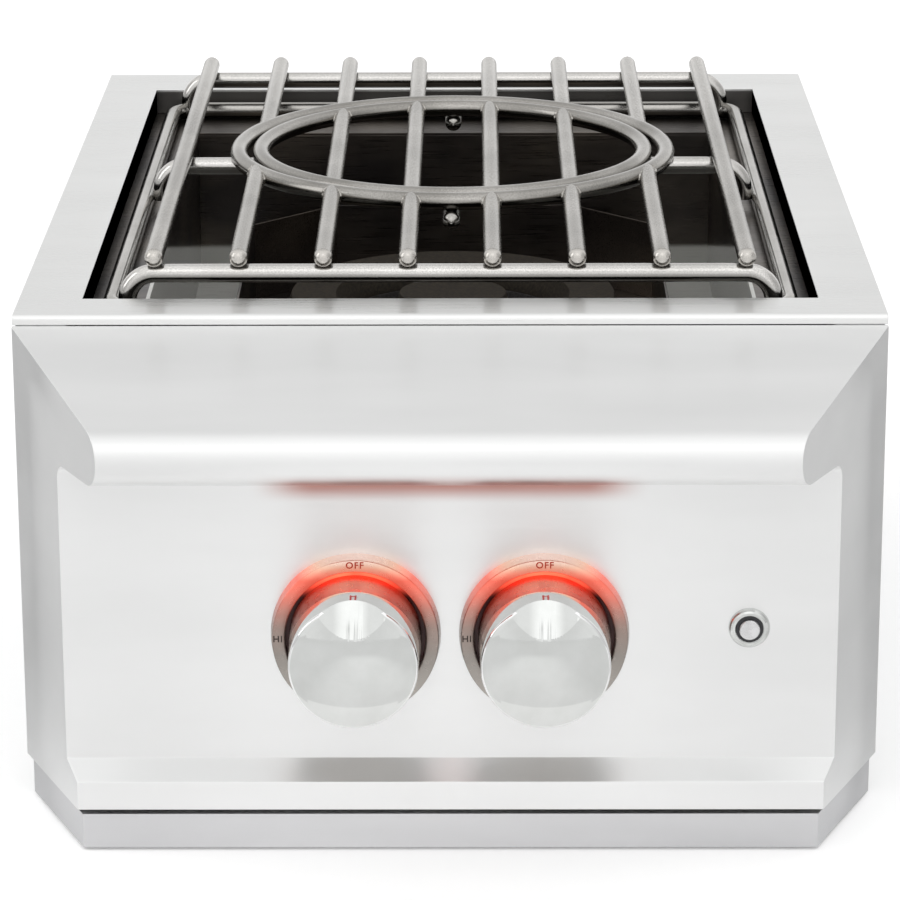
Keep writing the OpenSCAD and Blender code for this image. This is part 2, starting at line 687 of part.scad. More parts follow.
orifice_r = 5;
orifice_len = 10;
orifice_bore = 0.8;
module gas_orifices() color("gold") for (x = [-knob_x, knob_x])
    on_panel(x, knob_drop) back(valve_end + orifice_len) difference() {
        union() {
            translate([0, 0, orifice_len / 2]) cylinder(h = orifice_len / 2, r = orifice_r + 1, $fn = 6);
            cylinder(h = orifice_len / 2, r1 = orifice_r - 2, r2 = orifice_r - 1);
        }
        translate([0, 0, -over]) cylinder(h = orifice_len + 2 * over, r = orifice_bore);
    }

// Gas manifold under the valves
manifold_y = neck_back - panel_out;
manifold_left = -knob_x - 30;
manifold_wall = 2.5;
elbow_w = 30;
elbow_x = supply_x - elbow_w / 2;
module gas_manifold() color("silver") on_deck() translate([0, manifold_y, -manifold_drop])
    rotate([0, 90, 0]) difference() {
        translate([0, 0, manifold_left]) cylinder(h = elbow_x - manifold_left, r = manifold_r);
        translate([0, 0, manifold_left + manifold_wall])
            cylinder(h = elbow_x - manifold_left, r = manifold_r - manifold_wall);
        for (x = [-knob_x, knob_x]) translate([0, 0, x]) rotate([0, -90, 0])
            cylinder(h = 2 * manifold_r, r = valve_neck_r - 3);
    }
module supply_elbow() color("goldenrod") on_deck() translate([supply_x, manifold_y, -manifold_drop])
    difference() {
        block([-elbow_w / 2, -elbow_w / 2, -elbow_w / 2], [elbow_w / 2, elbow_w / 2, elbow_w / 2]);
        rotate([-90, 0, 0]) cylinder(h = elbow_w, r = supply_r - manifold_wall);
        rotate([0, -90, 0]) cylinder(h = elbow_w, r = supply_r - manifold_wall);
    }
nut_len = 20;
nut_r = 14;
module supply_pipe() color("goldenrod") on_deck()
    translate([supply_x, manifold_y + elbow_w / 2, -manifold_drop]) rotate([-90, 0, 0]) difference() {
        cylinder(h = body_back - sheet - nut_len - manifold_y - elbow_w / 2, r = supply_r);
        translate([0, 0, -over])
            cylinder(h = body_back - manifold_y, r = supply_r - manifold_wall);
    }
module inlet_fitting() color("goldenrod") on_deck()
    translate([supply_x, body_back - sheet - nut_len, -manifold_drop]) rotate([-90, 0, 0]) difference() {
        union() {
            cylinder(h = nut_len, r = nut_r, $fn = 6);
            cylinder(h = nut_len + sheet, r = shoulder_r);
            cylinder(h = nut_len + sheet + inlet_len, r = inlet_r);
        }
        translate([0, 0, -over]) cylinder(h = 3 * nut_len + inlet_len, r = supply_r - manifold_wall - 1);
    }

// Knob: a hollow turned cap with a domed front, a finger scoop and a hub for the stem
dome_r = (pow(knob_front_r - knob_round, 2) + pow(knob_dome, 2)) / (2 * knob_dome);
dome_steps = 8;
dome_span = asin((knob_front_r - knob_round) / dome_r);
function dome_arc(r) = [for (i = [0:dome_steps])
    [r * sin(dome_span * (1 - i / dome_steps)), knob_edge_z + knob_dome - dome_r
        + r * cos(dome_span * (1 - i / dome_steps))]];
hub_r = 8;
scoop_y = knob_front_r - scoop_drop;
scoop_low_z = knob_edge_z + knob_dome - dome_r + sqrt(pow(dome_r, 2) - pow(scoop_y, 2));
scoop_a = atan((scoop_low_z - knob_edge_z + scoop_depth) / scoop_drop);
module knob(x) on_panel(x, knob_drop) difference() {
    union() {
        rotate_extrude() difference() {
            polygon(concat([[0, knob_foot_z], [knob_foot_r, knob_foot_z]],
                arc([knob_front_r - knob_round, knob_edge_z - knob_round], knob_round, 0, 90 - dome_span, 4),
                dome_arc(dome_r)));
            polygon(concat([[0, knob_foot_z - over], [knob_foot_r - knob_wall, knob_foot_z - over],
                [knob_front_r - knob_wall, knob_edge_z - scoop_depth - knob_wall]],
                [[0, knob_edge_z - scoop_depth - knob_wall]]));
        }
        translate([0, 0, knob_foot_z + knob_travel])
            cylinder(h = knob_edge_z - scoop_depth - knob_wall - knob_foot_z, r = hub_r);
    }
    translate([0, scoop_y, scoop_low_z]) rotate([-scoop_a, 0, 0]) translate([0, 0, scoop_r])
        rotate([90, 0, 0]) cylinder(h = 4 * knob_front_r, r = scoop_r, center = true);
    difference() {
        translate([0, 0, -over]) cylinder(h = stem_front + gap + over, r = stem_r + run_fit);
        translate([-stem_r - 1, stem_r - 1 + run_fit, knob_foot_z])
            cube([2 * stem_r + 2, stem_r, stem_front + over]);
    }
    pointer_block(knob_wall);
}
pointer_w = 4;
pointer_len = 6;
pointer_deep = 0.6;
pointer_proud = 0.3;
pointer_margin = 0.8;
pointer_z = knob_edge_z - scoop_depth - pointer_margin - pointer_len;
module pointer_block(top) translate([-pointer_w / 2, knob_front_r - pointer_deep, pointer_z])
    cube([pointer_w, pointer_deep + top, pointer_len]);
module pointer(x) on_panel(x, knob_drop) pointer_block(pointer_proud);
module knob_left() color("whitesmoke") knob(-knob_x);
module knob_right() color("whitesmoke") knob(knob_x);
module pointer_left() color("red") pointer(-knob_x);
module pointer_right() color("red") pointer(knob_x);

dial_bore = 24;
dial_edge = 0.8;
module dial_ring(x) on_panel(x, knob_drop) rotate_extrude() polygon([
    [dial_bore, 0], [dial_r, 0], [dial_r, dial_edge], [dial_face_r, dial_h],
    [dial_hole_r + dial_edge, dial_h], [dial_hole_r, dial_h - dial_edge],
    [dial_hole_r, dial_flange], [dial_bore, dial_flange]]);
module dial_ring_left() color("silver") dial_ring(-knob_x);
module dial_ring_right() color("silver") dial_ring(knob_x);
module light_ring(x) on_panel(x, knob_drop) rotate_extrude() polygon([
    [dial_bore, dial_flange], [dial_hole_r - run_fit, dial_flange],
    [dial_hole_r - run_fit, 2 * dial_flange], [dial_bore, 2 * dial_flange]]);
module light_ring_left() color("red") light_ring(-knob_x);
module light_ring_right() color("red") light_ring(knob_x);

// Light switch: a barrel through the panel, its collar, its nut and the button
switch_hole_r = 6.7;
switch_depth = 26;
switch_nut_h = 4;
switch_nut_r = 13;
module switch_body() color("black") on_panel(switch_x, switch_drop) difference() {
    union() {
        back(switch_depth) cylinder(h = switch_depth, r = switch_barrel_r);
        cylinder(h = switch_collar_h - 0.8, r = switch_hole_r);
    }
    back(button_stem) cylinder(h = button_stem + button_z, r = button_r + run_fit);
}
module switch_collar() color("whitesmoke") on_panel(switch_x, switch_drop) rotate_extrude() polygon(
    concat([[switch_hole_r, 0], [switch_collar_r, 0]],
        [for (a = [10:20:70]) [switch_collar_r - 3 * (1 - cos(a)), switch_collar_h * sin(a)]],
        [[switch_hole_r + 0.4, switch_collar_h], [switch_hole_r, switch_collar_h - 0.4]]));
module switch_nut() color("silver") on_panel(switch_x, switch_drop) back(sheet + switch_nut_h) difference() {
    cylinder(h = switch_nut_h, r = switch_nut_r, $fn = 6);
    translate([0, 0, -over]) cylinder(h = switch_nut_h + 2 * over, r = switch_barrel_r + run_fit);
}
button_stem = 8;
module switch_button() color("whitesmoke") on_panel(switch_x, switch_drop) rotate_extrude() polygon([
    [0, button_travel + gap - button_stem], [button_r, button_travel + gap - button_stem],
    [button_r, button_z - 0.4], [button_r - 0.4, button_z], [0, button_z - 0.3]]);

// Low-voltage socket for the lights, in the rear wall
socket_len = 14;
socket_flange = 2;
socket_flange_r = 8.5;
socket_bore_r = 2.8;
socket_bore_len = 10;
module power_socket() color("black") on_deck()
    translate([socket_x, body_back, -manifold_drop]) rotate([-90, 0, 0]) difference() {
        union() {
            translate([0, 0, -socket_len]) cylinder(h = socket_len, r = socket_hole_r);
            cylinder(h = socket_flange, r = socket_flange_r);
        }
        translate([0, 0, socket_flange - socket_bore_len])
            cylinder(h = socket_bore_len + over, r = socket_bore_r);
    }

// Drip tray: a pan that hangs by its flanges on two runners, with a trim front
tray_inset = 3;
tray_path = [[-half_deck + tray_inset, 0], [-half_deck + tray_inset, -wing_start],
    [tray_inset - wing_x(foot_out - tray_setback), tray_setback - foot_out]];
pan_front = -30;
pan_lip = -3;
module tray_plan(t, back) mirrored_plan(moved_left(concat(tray_path,
    [[0, tray_setback - foot_out]]), t), back);
module tray_front() color("gainsboro") on_deck() difference() {
    translate([0, 0, tray_bottom]) linear_extrude(tray_front_h) tray_plan(0, 0);
    translate([0, 0, tray_bottom - over]) linear_extrude(tray_front_h + over - sheet) tray_plan(sheet, over);
}
module tray_pan() color("silver") on_deck() {
    pan_top = tray_top - sheet;
    difference() {
        union() {
            block([-pan_w / 2, pan_lip, pan_top - pan_h], [pan_w / 2, pan_back, pan_top]);
            block([-pan_w / 2 - pan_flange, pan_front, pan_top - sheet],
                [pan_w / 2 + pan_flange, pan_back, pan_top]);
        }
        block([-pan_w / 2 + sheet, pan_lip + sheet, pan_top - pan_h + sheet],
            [pan_w / 2 - sheet, pan_back - sheet, pan_top + over]);
        both_sides() block([inner_wall - 2 * pan_flange, pan_front - over, pan_top - 2 * sheet],
            [half_deck, 0, pan_top + over]);
    }
}
runner_back = body_back - sheet;
module tray_runners() color("silver") on_deck() both_sides() {
    runner_z = tray_top - 2 * sheet - gap;
    block([pan_w / 2 + gap, sheet, runner_z - sheet], [inner_wall, runner_back, runner_z]);
    block([inner_wall - sheet, sheet, runner_z], [inner_wall, runner_back, runner_z + 2 * sheet]);
}

// Long rods of the grate, with rounded front and rear ends
module long_rods(from, to) for (i = [from:to])
    translate([(i - (rod_count - 1) / 2) * rod_pitch, grate_y - rod_len / 2, rod_z]) rotate([-90, 0, 0]) {
        translate([0, 0, bar_r]) cylinder(h = rod_len - 2 * bar_r, r = bar_r);
        for (z = [bar_r, rod_len - bar_r]) translate([0, 0, z]) sphere(r = bar_r);
    }
module ring(r, bar) translate([0, guard_y, rod_z]) rotate_extrude($fn = 180)
    translate([r, 0]) circle(r = bar);
module disc(r) translate([0, guard_y, rod_z - 2 * bar_r]) cylinder(h = 4 * bar_r, r = r);
module grate_rods() color("gray") on_deck() difference() {
    long_rods(0, rod_count - 1);
    disc(ring_r);
    ring(ring_r, bar_r);
}
module grate_outer_ring() color("gray") on_deck() ring(ring_r, bar_r);
module lift_out_ring() color("gray") on_deck() ring(inner_ring_r, bar_r);
module lift_out_rods() color("gray") on_deck() difference() {
    intersection() {
        long_rods(2, rod_count - 3);
        disc(inner_ring_r);
    }
    ring(inner_ring_r, bar_r);
}

// Bar across the grate with a bend and a leg at each end
module bent_bar(y, from) both_sides() translate([0, y, cross_z]) {
    translate([from, 0, 0]) rotate([0, 90, 0]) cylinder(h = leg_x - bend_r - from, r = bar_r);
    translate([leg_x - bend_r, 0, -bend_r]) rotate([90, 0, 0]) rotate_extrude(angle = 90)
        translate([bend_r, 0]) circle(r = bar_r);
    translate([leg_x, 0, loop_z - cross_z]) cylinder(h = cross_z - loop_z - bend_r, r = bar_r);
}
front_bar_y = grate_y - rod_len / 2 + bar_setback;
rear_bar_y = grate_y + rod_len / 2 - bar_setback;
module cross_bar(y) on_deck() difference() {
    bent_bar(y, 0);
    long_rods(0, rod_count - 1);
    base_loop(bar_r);
}
module cross_bar_front() color("gray") cross_bar(front_bar_y);
module cross_bar_rear() color("gray") cross_bar(rear_bar_y);
// Short bars at the two sides that carry the rings
rest_overlap = 4;
module side_ring_rests() color("gray") on_deck() difference() {
    bent_bar(guard_y, inner_ring_r - rest_overlap);
    long_rods(0, 0);
    long_rods(rod_count - 1, rod_count - 1);
    ring(ring_r, bar_r);
    ring(inner_ring_r, bar_r + gap);
    base_loop(bar_r);
}
module end_ring_rests() color("gray") on_deck() difference() {
    for (s = [-1, 1]) translate([0, guard_y, cross_z]) rotate([s * 90, 0, 0])
        translate([0, 0, inner_ring_r - rest_overlap + bar_r]) {
            cylinder(h = rest_len - 2 * bar_r, r = bar_r);
            sphere(r = bar_r);
            translate([0, 0, rest_len - 2 * bar_r]) sphere(r = bar_r);
        }
    ring(ring_r, bar_r);
    ring(inner_ring_r, bar_r + gap);
}

// Rounded rectangle of bar that stands on the ledge
module base_loop(r) translate([0, grate_y, loop_z]) {
    for (s = [-1, 1]) {
        translate([s * loop_x, 0, 0]) rotate([90, 0, 0])
            cylinder(h = loop_len - 2 * loop_bend, r = r, center = true);
        translate([0, s * loop_len / 2, 0]) rotate([0, 90, 0])
            cylinder(h = 2 * (loop_x - loop_bend), r = r, center = true);
    }
    for (a = [0:90:270]) {
        sx = (a == 0 || a == 270) ? 1 : -1;
        sy = (a == 0 || a == 90) ? 1 : -1;
        translate([sx * (loop_x - loop_bend), sy * (loop_len / 2 - loop_bend), 0]) rotate(a)
            rotate_extrude(angle = 90) translate([loop_bend, 0]) circle(r = r);
    }
}
loop_bend = 16;
module grate_base_loop() color("gray") on_deck() base_loop(bar_r);

// Pan-head screws, and low ones that fit under the dial rings
screw_head_r = 4;
screw_head_h = 2.5;
low_head_r = 3.5;
low_head_h = 1.6;
module screw(head_r, head_h, len) {
    cylinder(h = head_h, r = head_r);
    translate([0, 0, -len]) cylinder(h = len, r = screw_r);
}
module panel_screws() color("silver") on_deck() both_sides() for (drop = flange_screw_drops)
    translate([flange_screw_x, sheet, -drop]) rotate([-90, 0, 0])
        screw(screw_head_r, screw_head_h, 3 * sheet);
module valve_screws() color("silver") for (x = [-knob_x, knob_x]) on_panel(x, knob_drop)
    valve_screw_places() screw(low_head_r, low_head_h, sheet + valve_flange);
module bracket_screws() color("silver") on_deck() both_sides() for (s = [-1, 1])
    translate([bracket_x, burner_y + s * bracket_screw_y, floor_z + bracket_t])
        screw(screw_head_r, screw_head_h, bracket_t + 2 * sheet);

deck_frame();
front_panel();
side_wall_left();
side_wall_right();
rear_wall();
front_crossrail();
heat_shield();
firebox_ledge();
firebox_well();
wind_guard();
burner_brackets();
burner_base();
outer_burner_cap();
inner_burner_cap();
outer_mixer_tube();
inner_mixer_tube();
igniter_bracket();
igniter_ceramic();
igniter_electrode();
valve_body_left();
valve_body_right();
valve_plug_left();
valve_plug_right();
valve_stem_left();
valve_stem_right();
valve_spring_left();
valve_spring_right();
gas_orifices();
gas_manifold();
supply_elbow();
supply_pipe();
inlet_fitting();
knob_left();
knob_right();
pointer_left();
pointer_right();
dial_ring_left();
dial_ring_right();
light_ring_left();
light_ring_right();
switch_body();
switch_collar();
switch_nut();
switch_button();
power_socket();
tray_pan();
tray_front();
tray_runners();
grate_rods();
grate_outer_ring();
cross_bar_front();
cross_bar_rear();
side_ring_rests();
end_ring_rests();
grate_base_loop();
lift_out_ring();
lift_out_rods();
panel_screws();
valve_screws();
bracket_screws();
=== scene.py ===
import json
from math import asin, atan, cos, pi, radians, sin, sqrt

import bmesh
import bpy
from mathutils import Matrix, Vector


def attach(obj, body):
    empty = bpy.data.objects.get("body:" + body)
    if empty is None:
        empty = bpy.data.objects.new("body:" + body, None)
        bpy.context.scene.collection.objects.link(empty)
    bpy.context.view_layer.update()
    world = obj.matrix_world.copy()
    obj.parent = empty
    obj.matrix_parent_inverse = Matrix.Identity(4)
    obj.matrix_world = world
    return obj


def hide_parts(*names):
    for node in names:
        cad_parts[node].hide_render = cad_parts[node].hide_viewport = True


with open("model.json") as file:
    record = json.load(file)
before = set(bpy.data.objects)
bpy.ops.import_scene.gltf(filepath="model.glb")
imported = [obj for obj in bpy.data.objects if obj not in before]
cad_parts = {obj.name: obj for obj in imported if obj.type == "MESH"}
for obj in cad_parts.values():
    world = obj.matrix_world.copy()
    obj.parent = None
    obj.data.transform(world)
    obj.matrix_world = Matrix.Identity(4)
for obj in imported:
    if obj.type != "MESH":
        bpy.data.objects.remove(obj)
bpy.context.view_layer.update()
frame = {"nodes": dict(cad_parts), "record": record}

nodes = frame["nodes"]
MM = 0.001

# Camera: in front of the burner and above it, a little under two metres away, where the
# photograph was taken. Its long lens makes the deck's sides converge only slightly.
camera_data = bpy.data.cameras.new("camera")
camera_data.sensor_width = 36
camera_data.lens = 157.65
camera_data.clip_start = 0.05
camera = bpy.data.objects.new("camera", camera_data)
pan, tilt, roll = 0.0063, pi / 2 - 0.3062, -0.0031
camera_turn = (Matrix.Rotation(pan, 3, "Z") @ Matrix.Rotation(tilt, 3, "X")
               @ Matrix.Rotation(roll, 3, "Z"))
camera.location = (0.01167, -2.09394, 0.77470)
camera.rotation_euler = camera_turn.to_euler()
bpy.context.scene.collection.objects.link(camera)
bpy.context.scene.camera = camera
bpy.context.scene.view_settings.view_transform = "Standard"


# Floor and light: a white table in a pale studio, with one soft box at the left. The room is
# greyer at the sides and behind. The camera sees the table plain white; in reflections and bounced
# light it carries painted shade beside and behind the burner and painted light down its middle
# and close in front of the burner.
def material(name):
    made = bpy.data.materials.new(name)
    made.use_nodes = True
    return made, made.node_tree.nodes, made.node_tree.links


def node(tree_nodes, kind, **settings):
    made = tree_nodes.new("ShaderNode" + kind)
    for key, value in settings.items():
        setattr(made, key, value)
    return made


def map_range(tree_nodes, links, value, low, high, to_low, to_high):
    ramp = node(tree_nodes, "MapRange", interpolation_type="SMOOTHSTEP")
    links.new(value, ramp.inputs["Value"])
    for key, number in (("From Min", low), ("From Max", high),
                        ("To Min", to_low), ("To Max", to_high)):
        ramp.inputs[key].default_value = number
    return ramp.outputs["Result"]


def math(tree_nodes, links, operation, a, b):
    made = node(tree_nodes, "Math", operation=operation)
    for socket, value in zip(made.inputs, (a, b)):
        if isinstance(value, (int, float)):
            socket.default_value = value
        else:
            links.new(value, socket)
    return made.outputs[0]


def absolute(tree_nodes, links, value):
    return math(tree_nodes, links, "ABSOLUTE", value, 0.0)


def coordinates(tree_nodes, links, kind="Object"):
    place = node(tree_nodes, "TexCoord")
    apart = node(tree_nodes, "SeparateXYZ")
    links.new(place.outputs[kind], apart.inputs["Vector"])
    return apart.outputs


MIX_SOCKETS = {"FLOAT": (2, 3, 0), "VECTOR": (4, 5, 1), "RGBA": (6, 7, 2)}


def mixed(tree_nodes, links, kind, factor, a, b):
    made = node(tree_nodes, "Mix", data_type=kind)
    first, second, out = MIX_SOCKETS[kind]
    for index, value in ((0, factor), (first, a), (second, b)):
        if isinstance(value, (int, float, tuple)):
            made.inputs[index].default_value = value
        else:
            links.new(value, made.inputs[index])
    return made.outputs[out]


def new_object(name, mesh):
    made = bpy.data.objects.new(name, mesh)
    bpy.context.scene.collection.objects.link(made)
    return made


table_reach, table_z = 12, -0.0004
floor_mesh = bmesh.new()
bmesh.ops.create_grid(floor_mesh, x_segments=1, y_segments=1, size=table_reach)
bmesh.ops.translate(floor_mesh, verts=floor_mesh.verts, vec=(0, 0, table_z))
floor_data = bpy.data.meshes.new("floor")
floor_mesh.to_mesh(floor_data)
floor_mesh.free()
floor = new_object("floor", floor_data)
white, n, k = material("white_table")
lit = n["Principled BSDF"]
lit.inputs["Roughness"].default_value = 0.9
lit.inputs["Specular IOR Level"].default_value = 0.1
spot = coordinates(n, k)
from_middle = absolute(n, k, spot["X"])
# Painted light and shade, seen only in reflections and bounced light: lighter in a band down the
# middle and close in front, greyer beside and behind the burner.
painted_middle_light = math(n, k, "MULTIPLY", map_range(n, k, from_middle, 0.06, 0.19, 0.16, 0.0),
                   map_range(n, k, spot["Y"], -1.1, -0.8, 0.0, 1.0))
painted_side_shade = math(n, k, "MULTIPLY", map_range(n, k, from_middle, 0.22, 0.34, 0.0, 0.42),
                map_range(n, k, spot["Y"], -0.5, -0.3, 0.0, 1.0))
table_tone_and_painted_shade = math(n, k, "SUBTRACT", math(n, k, "ADD", 0.98, painted_middle_light), painted_side_shade)
table_tone_and_painted_shade = math(n, k, "ADD", table_tone_and_painted_shade, map_range(n, k, spot["Y"], -0.424, -0.42, -0.08, 0.09))
seen = node(n, "LightPath")
plain_ray = math(n, k, "MAXIMUM", seen.outputs["Is Camera Ray"],
                 seen.outputs["Is Transmission Ray"])
k.new(mixed(n, k, "FLOAT", plain_ray, table_tone_and_painted_shade, 0.9), lit.inputs["Base Color"])
glow = node(n, "Emission")
k.new(math(n, k, "MULTIPLY", plain_ray, 0.3), glow.inputs["Strength"])
both = node(n, "AddShader")
k.new(lit.outputs["BSDF"], both.inputs[0])
k.new(glow.outputs["Emission"], both.inputs[1])
k.new(both.outputs["Shader"], n["Material Output"].inputs["Surface"])
floor_data.materials.append(white)

world = bpy.data.worlds.new("studio")
bpy.context.scene.world = world
world.use_nodes = True
n, k = world.node_tree.nodes, world.node_tree.links
n.clear()
direction = node(n, "TexCoord")


def lobe(towards, low, high, strength):
    dot = node(n, "VectorMath", operation="DOT_PRODUCT")
    k.new(direction.outputs["Generated"], dot.inputs[0])
    dot.inputs[1].default_value = Vector(towards).normalized()
    return map_range(n, k, dot.outputs["Value"], low, high, 0.0, strength)


room = math(n, k, "SUBTRACT", 1.34, lobe((0, 1, 1.0), 0.7, 0.98, 0.34))
room = math(n, k, "SUBTRACT", room, lobe((0, -1, 0.05), 0.8, 0.98, 0.2))
room = math(n, k, "ADD", room, lobe((0, -1, 1.1), 0.93, 0.995, 0.42))
towards = coordinates(n, k, "Generated")
sideways = absolute(n, k, towards["X"])
room = math(n, k, "SUBTRACT", room, map_range(n, k, sideways, 0.5, 0.95, 0.0, 0.62))
ahead = math(n, k, "MULTIPLY", map_range(n, k, towards["Y"], -0.95, -0.88, 0.28, 0.0),
             map_range(n, k, sideways, 0.04, 0.1, 1.0, 0.0))
room = math(n, k, "ADD", room, ahead)
sky = node(n, "Background")
k.new(room, sky.inputs["Strength"])
k.new(sky.outputs["Background"], node(n, "OutputWorld").inputs["Surface"])


def soft_box(name, location, aim, size, power):
    lamp = bpy.data.lights.new(name, "AREA")
    lamp.shape = "RECTANGLE"
    lamp.size, lamp.size_y = size
    lamp.energy = power
    made = bpy.data.objects.new(name, lamp)
    made.location = location
    made.rotation_euler = (Vector(aim) - Vector(location)).to_track_quat("-Z", "Y").to_euler()
    bpy.context.scene.collection.objects.link(made)


soft_box("left_soft_box", (-2.0, -0.4, 1.3), (0, 0, 0.2), (0.9, 1.4), 5)


# Deck: one sheet of brushed 304 stainless, 1.5 mm thick. Its rim is folded down all round and
# its front edge is rolled, and a lip is folded down round the opening. Its grain runs across.
# The lip's faces inside the opening are painted near black as shade and the dark firebox's
# reflection.
body_of = {part: body for body, parts in frame["record"]["behaviour"]["bodies"].items()
           for part in parts}
painted_glow_x, painted_glow_foot, painted_glow_top = (0.065, 0.098), (0.1755, 0.1855), (0.1975, 0.2085)
painted_red_glow, painted_lip_shade = (0.54, 0.29, 0.255, 1), (0.13, 0.125, 0.12, 1)


def grain(n, k, scale, wings=False):
    place = node(n, "TexCoord")
    vector = place.outputs["Object"]
    if wings:
        faces_sideways = absolute(n, k, coordinates(n, k, "Normal")["X"])
        on_wing = math(n, k, "GREATER_THAN", faces_sideways, 0.3)
        flat = node(n, "VectorMath", operation="MULTIPLY")
        k.new(vector, flat.inputs[0])
        flat.inputs[1].default_value = (1, 0, 1)
        vector = mixed(n, k, "VECTOR", on_wing, vector, flat.outputs["Vector"])
    stretch = node(n, "Mapping")
    stretch.inputs["Scale"].default_value = scale
    k.new(vector, stretch.inputs["Vector"])
    lines = node(n, "TexNoise")
    lines.inputs["Scale"].default_value = 1.0
    lines.inputs["Detail"].default_value = 3.0
    k.new(stretch.outputs["Vector"], lines.inputs["Vector"])
    return lines.outputs["Fac"]


def tone(n, k, fac, dark, light, low=0.3, high=0.7):
    ramp = node(n, "ValToRGB")
    ramp.color_ramp.elements[0].position = low
    ramp.color_ramp.elements[0].color = (*dark, 1)
    ramp.color_ramp.elements[1].position = high
    ramp.color_ramp.elements[1].color = (*light, 1)
    k.new(fac, ramp.inputs["Fac"])
    return ramp.outputs["Color"]


def bump(n, k, height, depth, shader):
    made = node(n, "Bump")
    made.inputs["Strength"].default_value = 1.0
    made.inputs["Distance"].default_value = depth * MM
    k.new(height, made.inputs["Height"])
    k.new(made.outputs["Normal"], shader.inputs["Normal"])


def metal(name):
    made, n, k = material(name)
    shader = n["Principled BSDF"]
    shader.inputs["Metallic"].default_value = 1.0
    return made, n, k, shader


def spread_across(n, k, shader, amount):
    shape = node(n, "NewGeometry")
    across = node(n, "VectorMath", operation="CROSS_PRODUCT")
    across.inputs[0].default_value = (1, 0, 0)
    k.new(shape.outputs["Normal"], across.inputs[1])
    k.new(across.outputs["Vector"], shader.inputs["Tangent"])
    shader.inputs["Anisotropic"].default_value = amount


def inside(n, k, reach_x, front, rear, top):
    spot = coordinates(n, k)
    side = math(n, k, "LESS_THAN", absolute(n, k, spot["X"]), reach_x)
    behind = math(n, k, "GREATER_THAN", spot["Y"], front)
    ahead = math(n, k, "LESS_THAN", spot["Y"], rear)
    under = map_range(n, k, spot["Z"], top - 1.5 * MM, top, 1.0, 0.0)
    plan = math(n, k, "MULTIPLY", math(n, k, "MULTIPLY", side, behind), ahead)
    return math(n, k, "MULTIPLY", plan, under)


def painted_glow_under_nose(n, k):
    spot = coordinates(n, k)
    across = map_range(n, k, absolute(n, k, spot["X"]), *painted_glow_x, 1.0, 0.0)
    low = map_range(n, k, spot["Z"], *painted_glow_foot, 0.0, 1.0)
    high = map_range(n, k, spot["Z"], *painted_glow_top, 1.0, 0.0)
    return math(n, k, "MULTIPLY", across, math(n, k, "MULTIPLY", low, high))


def brushed_steel(name, dark, light, shine, scale=(25, 2200, 2200), depth=0.002, wings=False,
                  painted_shade_box=None):
    made, n, k, shader = metal(name)
    spread_across(n, k, shader, 0.8)
    fine = grain(n, k, scale, wings)
    cloud = grain(n, k, (6, 22, 22))
    colour = tone(n, k, cloud, dark, light)
    # Painted shade: inside the given box, below its top, the steel is coloured near black.
    if painted_shade_box:
        colour = mixed(n, k, "RGBA", inside(n, k, *painted_shade_box), colour, painted_lip_shade)
    # Painted glow: the underside of the nose is coloured dark red where the lit dials would light
    # it.
    if wings:
        colour = mixed(n, k, "RGBA", painted_glow_under_nose(n, k), colour, painted_red_glow)
    k.new(colour, shader.inputs["Base Color"])
    rough = map_range(n, k, fine, 0.3, 0.7, shine - 0.03, shine + 0.03)
    k.new(math(n, k, "ADD", rough, map_range(n, k, cloud, 0.35, 0.65, -0.02, 0.02)),
          shader.inputs["Roughness"])
    bump(n, k, fine, depth, shader)
    return made


def finished(part, finish):
    data = nodes[part].data
    data.materials.clear()
    data.materials.append(finish)


def merged_copy(part):
    mesh = bmesh.new()
    mesh.from_mesh(nodes[part].data)
    bmesh.ops.remove_doubles(mesh, verts=mesh.verts, dist=1e-6)
    bmesh.ops.dissolve_limit(mesh, angle_limit=radians(0.5), verts=mesh.verts, edges=mesh.edges)
    return mesh


def smooth_below(mesh, angle):
    for face in mesh.faces:
        face.smooth = True
    for edge in mesh.edges:
        edge.smooth = edge.calc_face_angle(0) < radians(angle)


def placed(name, mesh, finish, part, replace=True, angle=35):
    smooth_below(mesh, angle)
    data = bpy.data.meshes.new(name)
    mesh.to_mesh(data)
    mesh.free()
    if "custom_normal" in data.attributes:
        data.attributes.remove(data.attributes["custom_normal"])
    data.materials.clear()
    data.materials.append(finish)
    piece = new_object(name, data)
    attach(piece, body_of[part])
    if replace:
        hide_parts(part)
    return piece


def edges_broken(part, name, finish, width, steps=2, angle=35):
    piece = placed(name, merged_copy(part), finish, part, angle=angle)
    for polygon in piece.data.polygons:
        polygon.material_index = 0
    rounding = piece.modifiers.new("broken_edges", "BEVEL")
    rounding.limit_method = "ANGLE"
    rounding.angle_limit = radians(angle)
    rounding.width = width * MM
    rounding.segments = steps
    rounding.use_clamp_overlap = False
    rounding.harden_normals = True
    return piece


painted_lip_box = (0.186, -0.1945, 0.299, 0.2525)
deck_steel = brushed_steel("brushed_deck_steel", (0.85, 0.853, 0.845), (0.9, 0.903, 0.895), 0.3,
                           painted_shade_box=painted_lip_box)
deck = edges_broken("deck_frame", "deck", deck_steel, 0.35)
rim_front, rim_foot, rim_drop = -222.75 * MM, 248.3 * MM, 0.45 * MM
for v in deck.data.vertices:
    if abs(v.co.y - rim_front) < 2 * MM and abs(v.co.z - rim_foot) < 0.05 * MM:
        v.co.z -= rim_drop


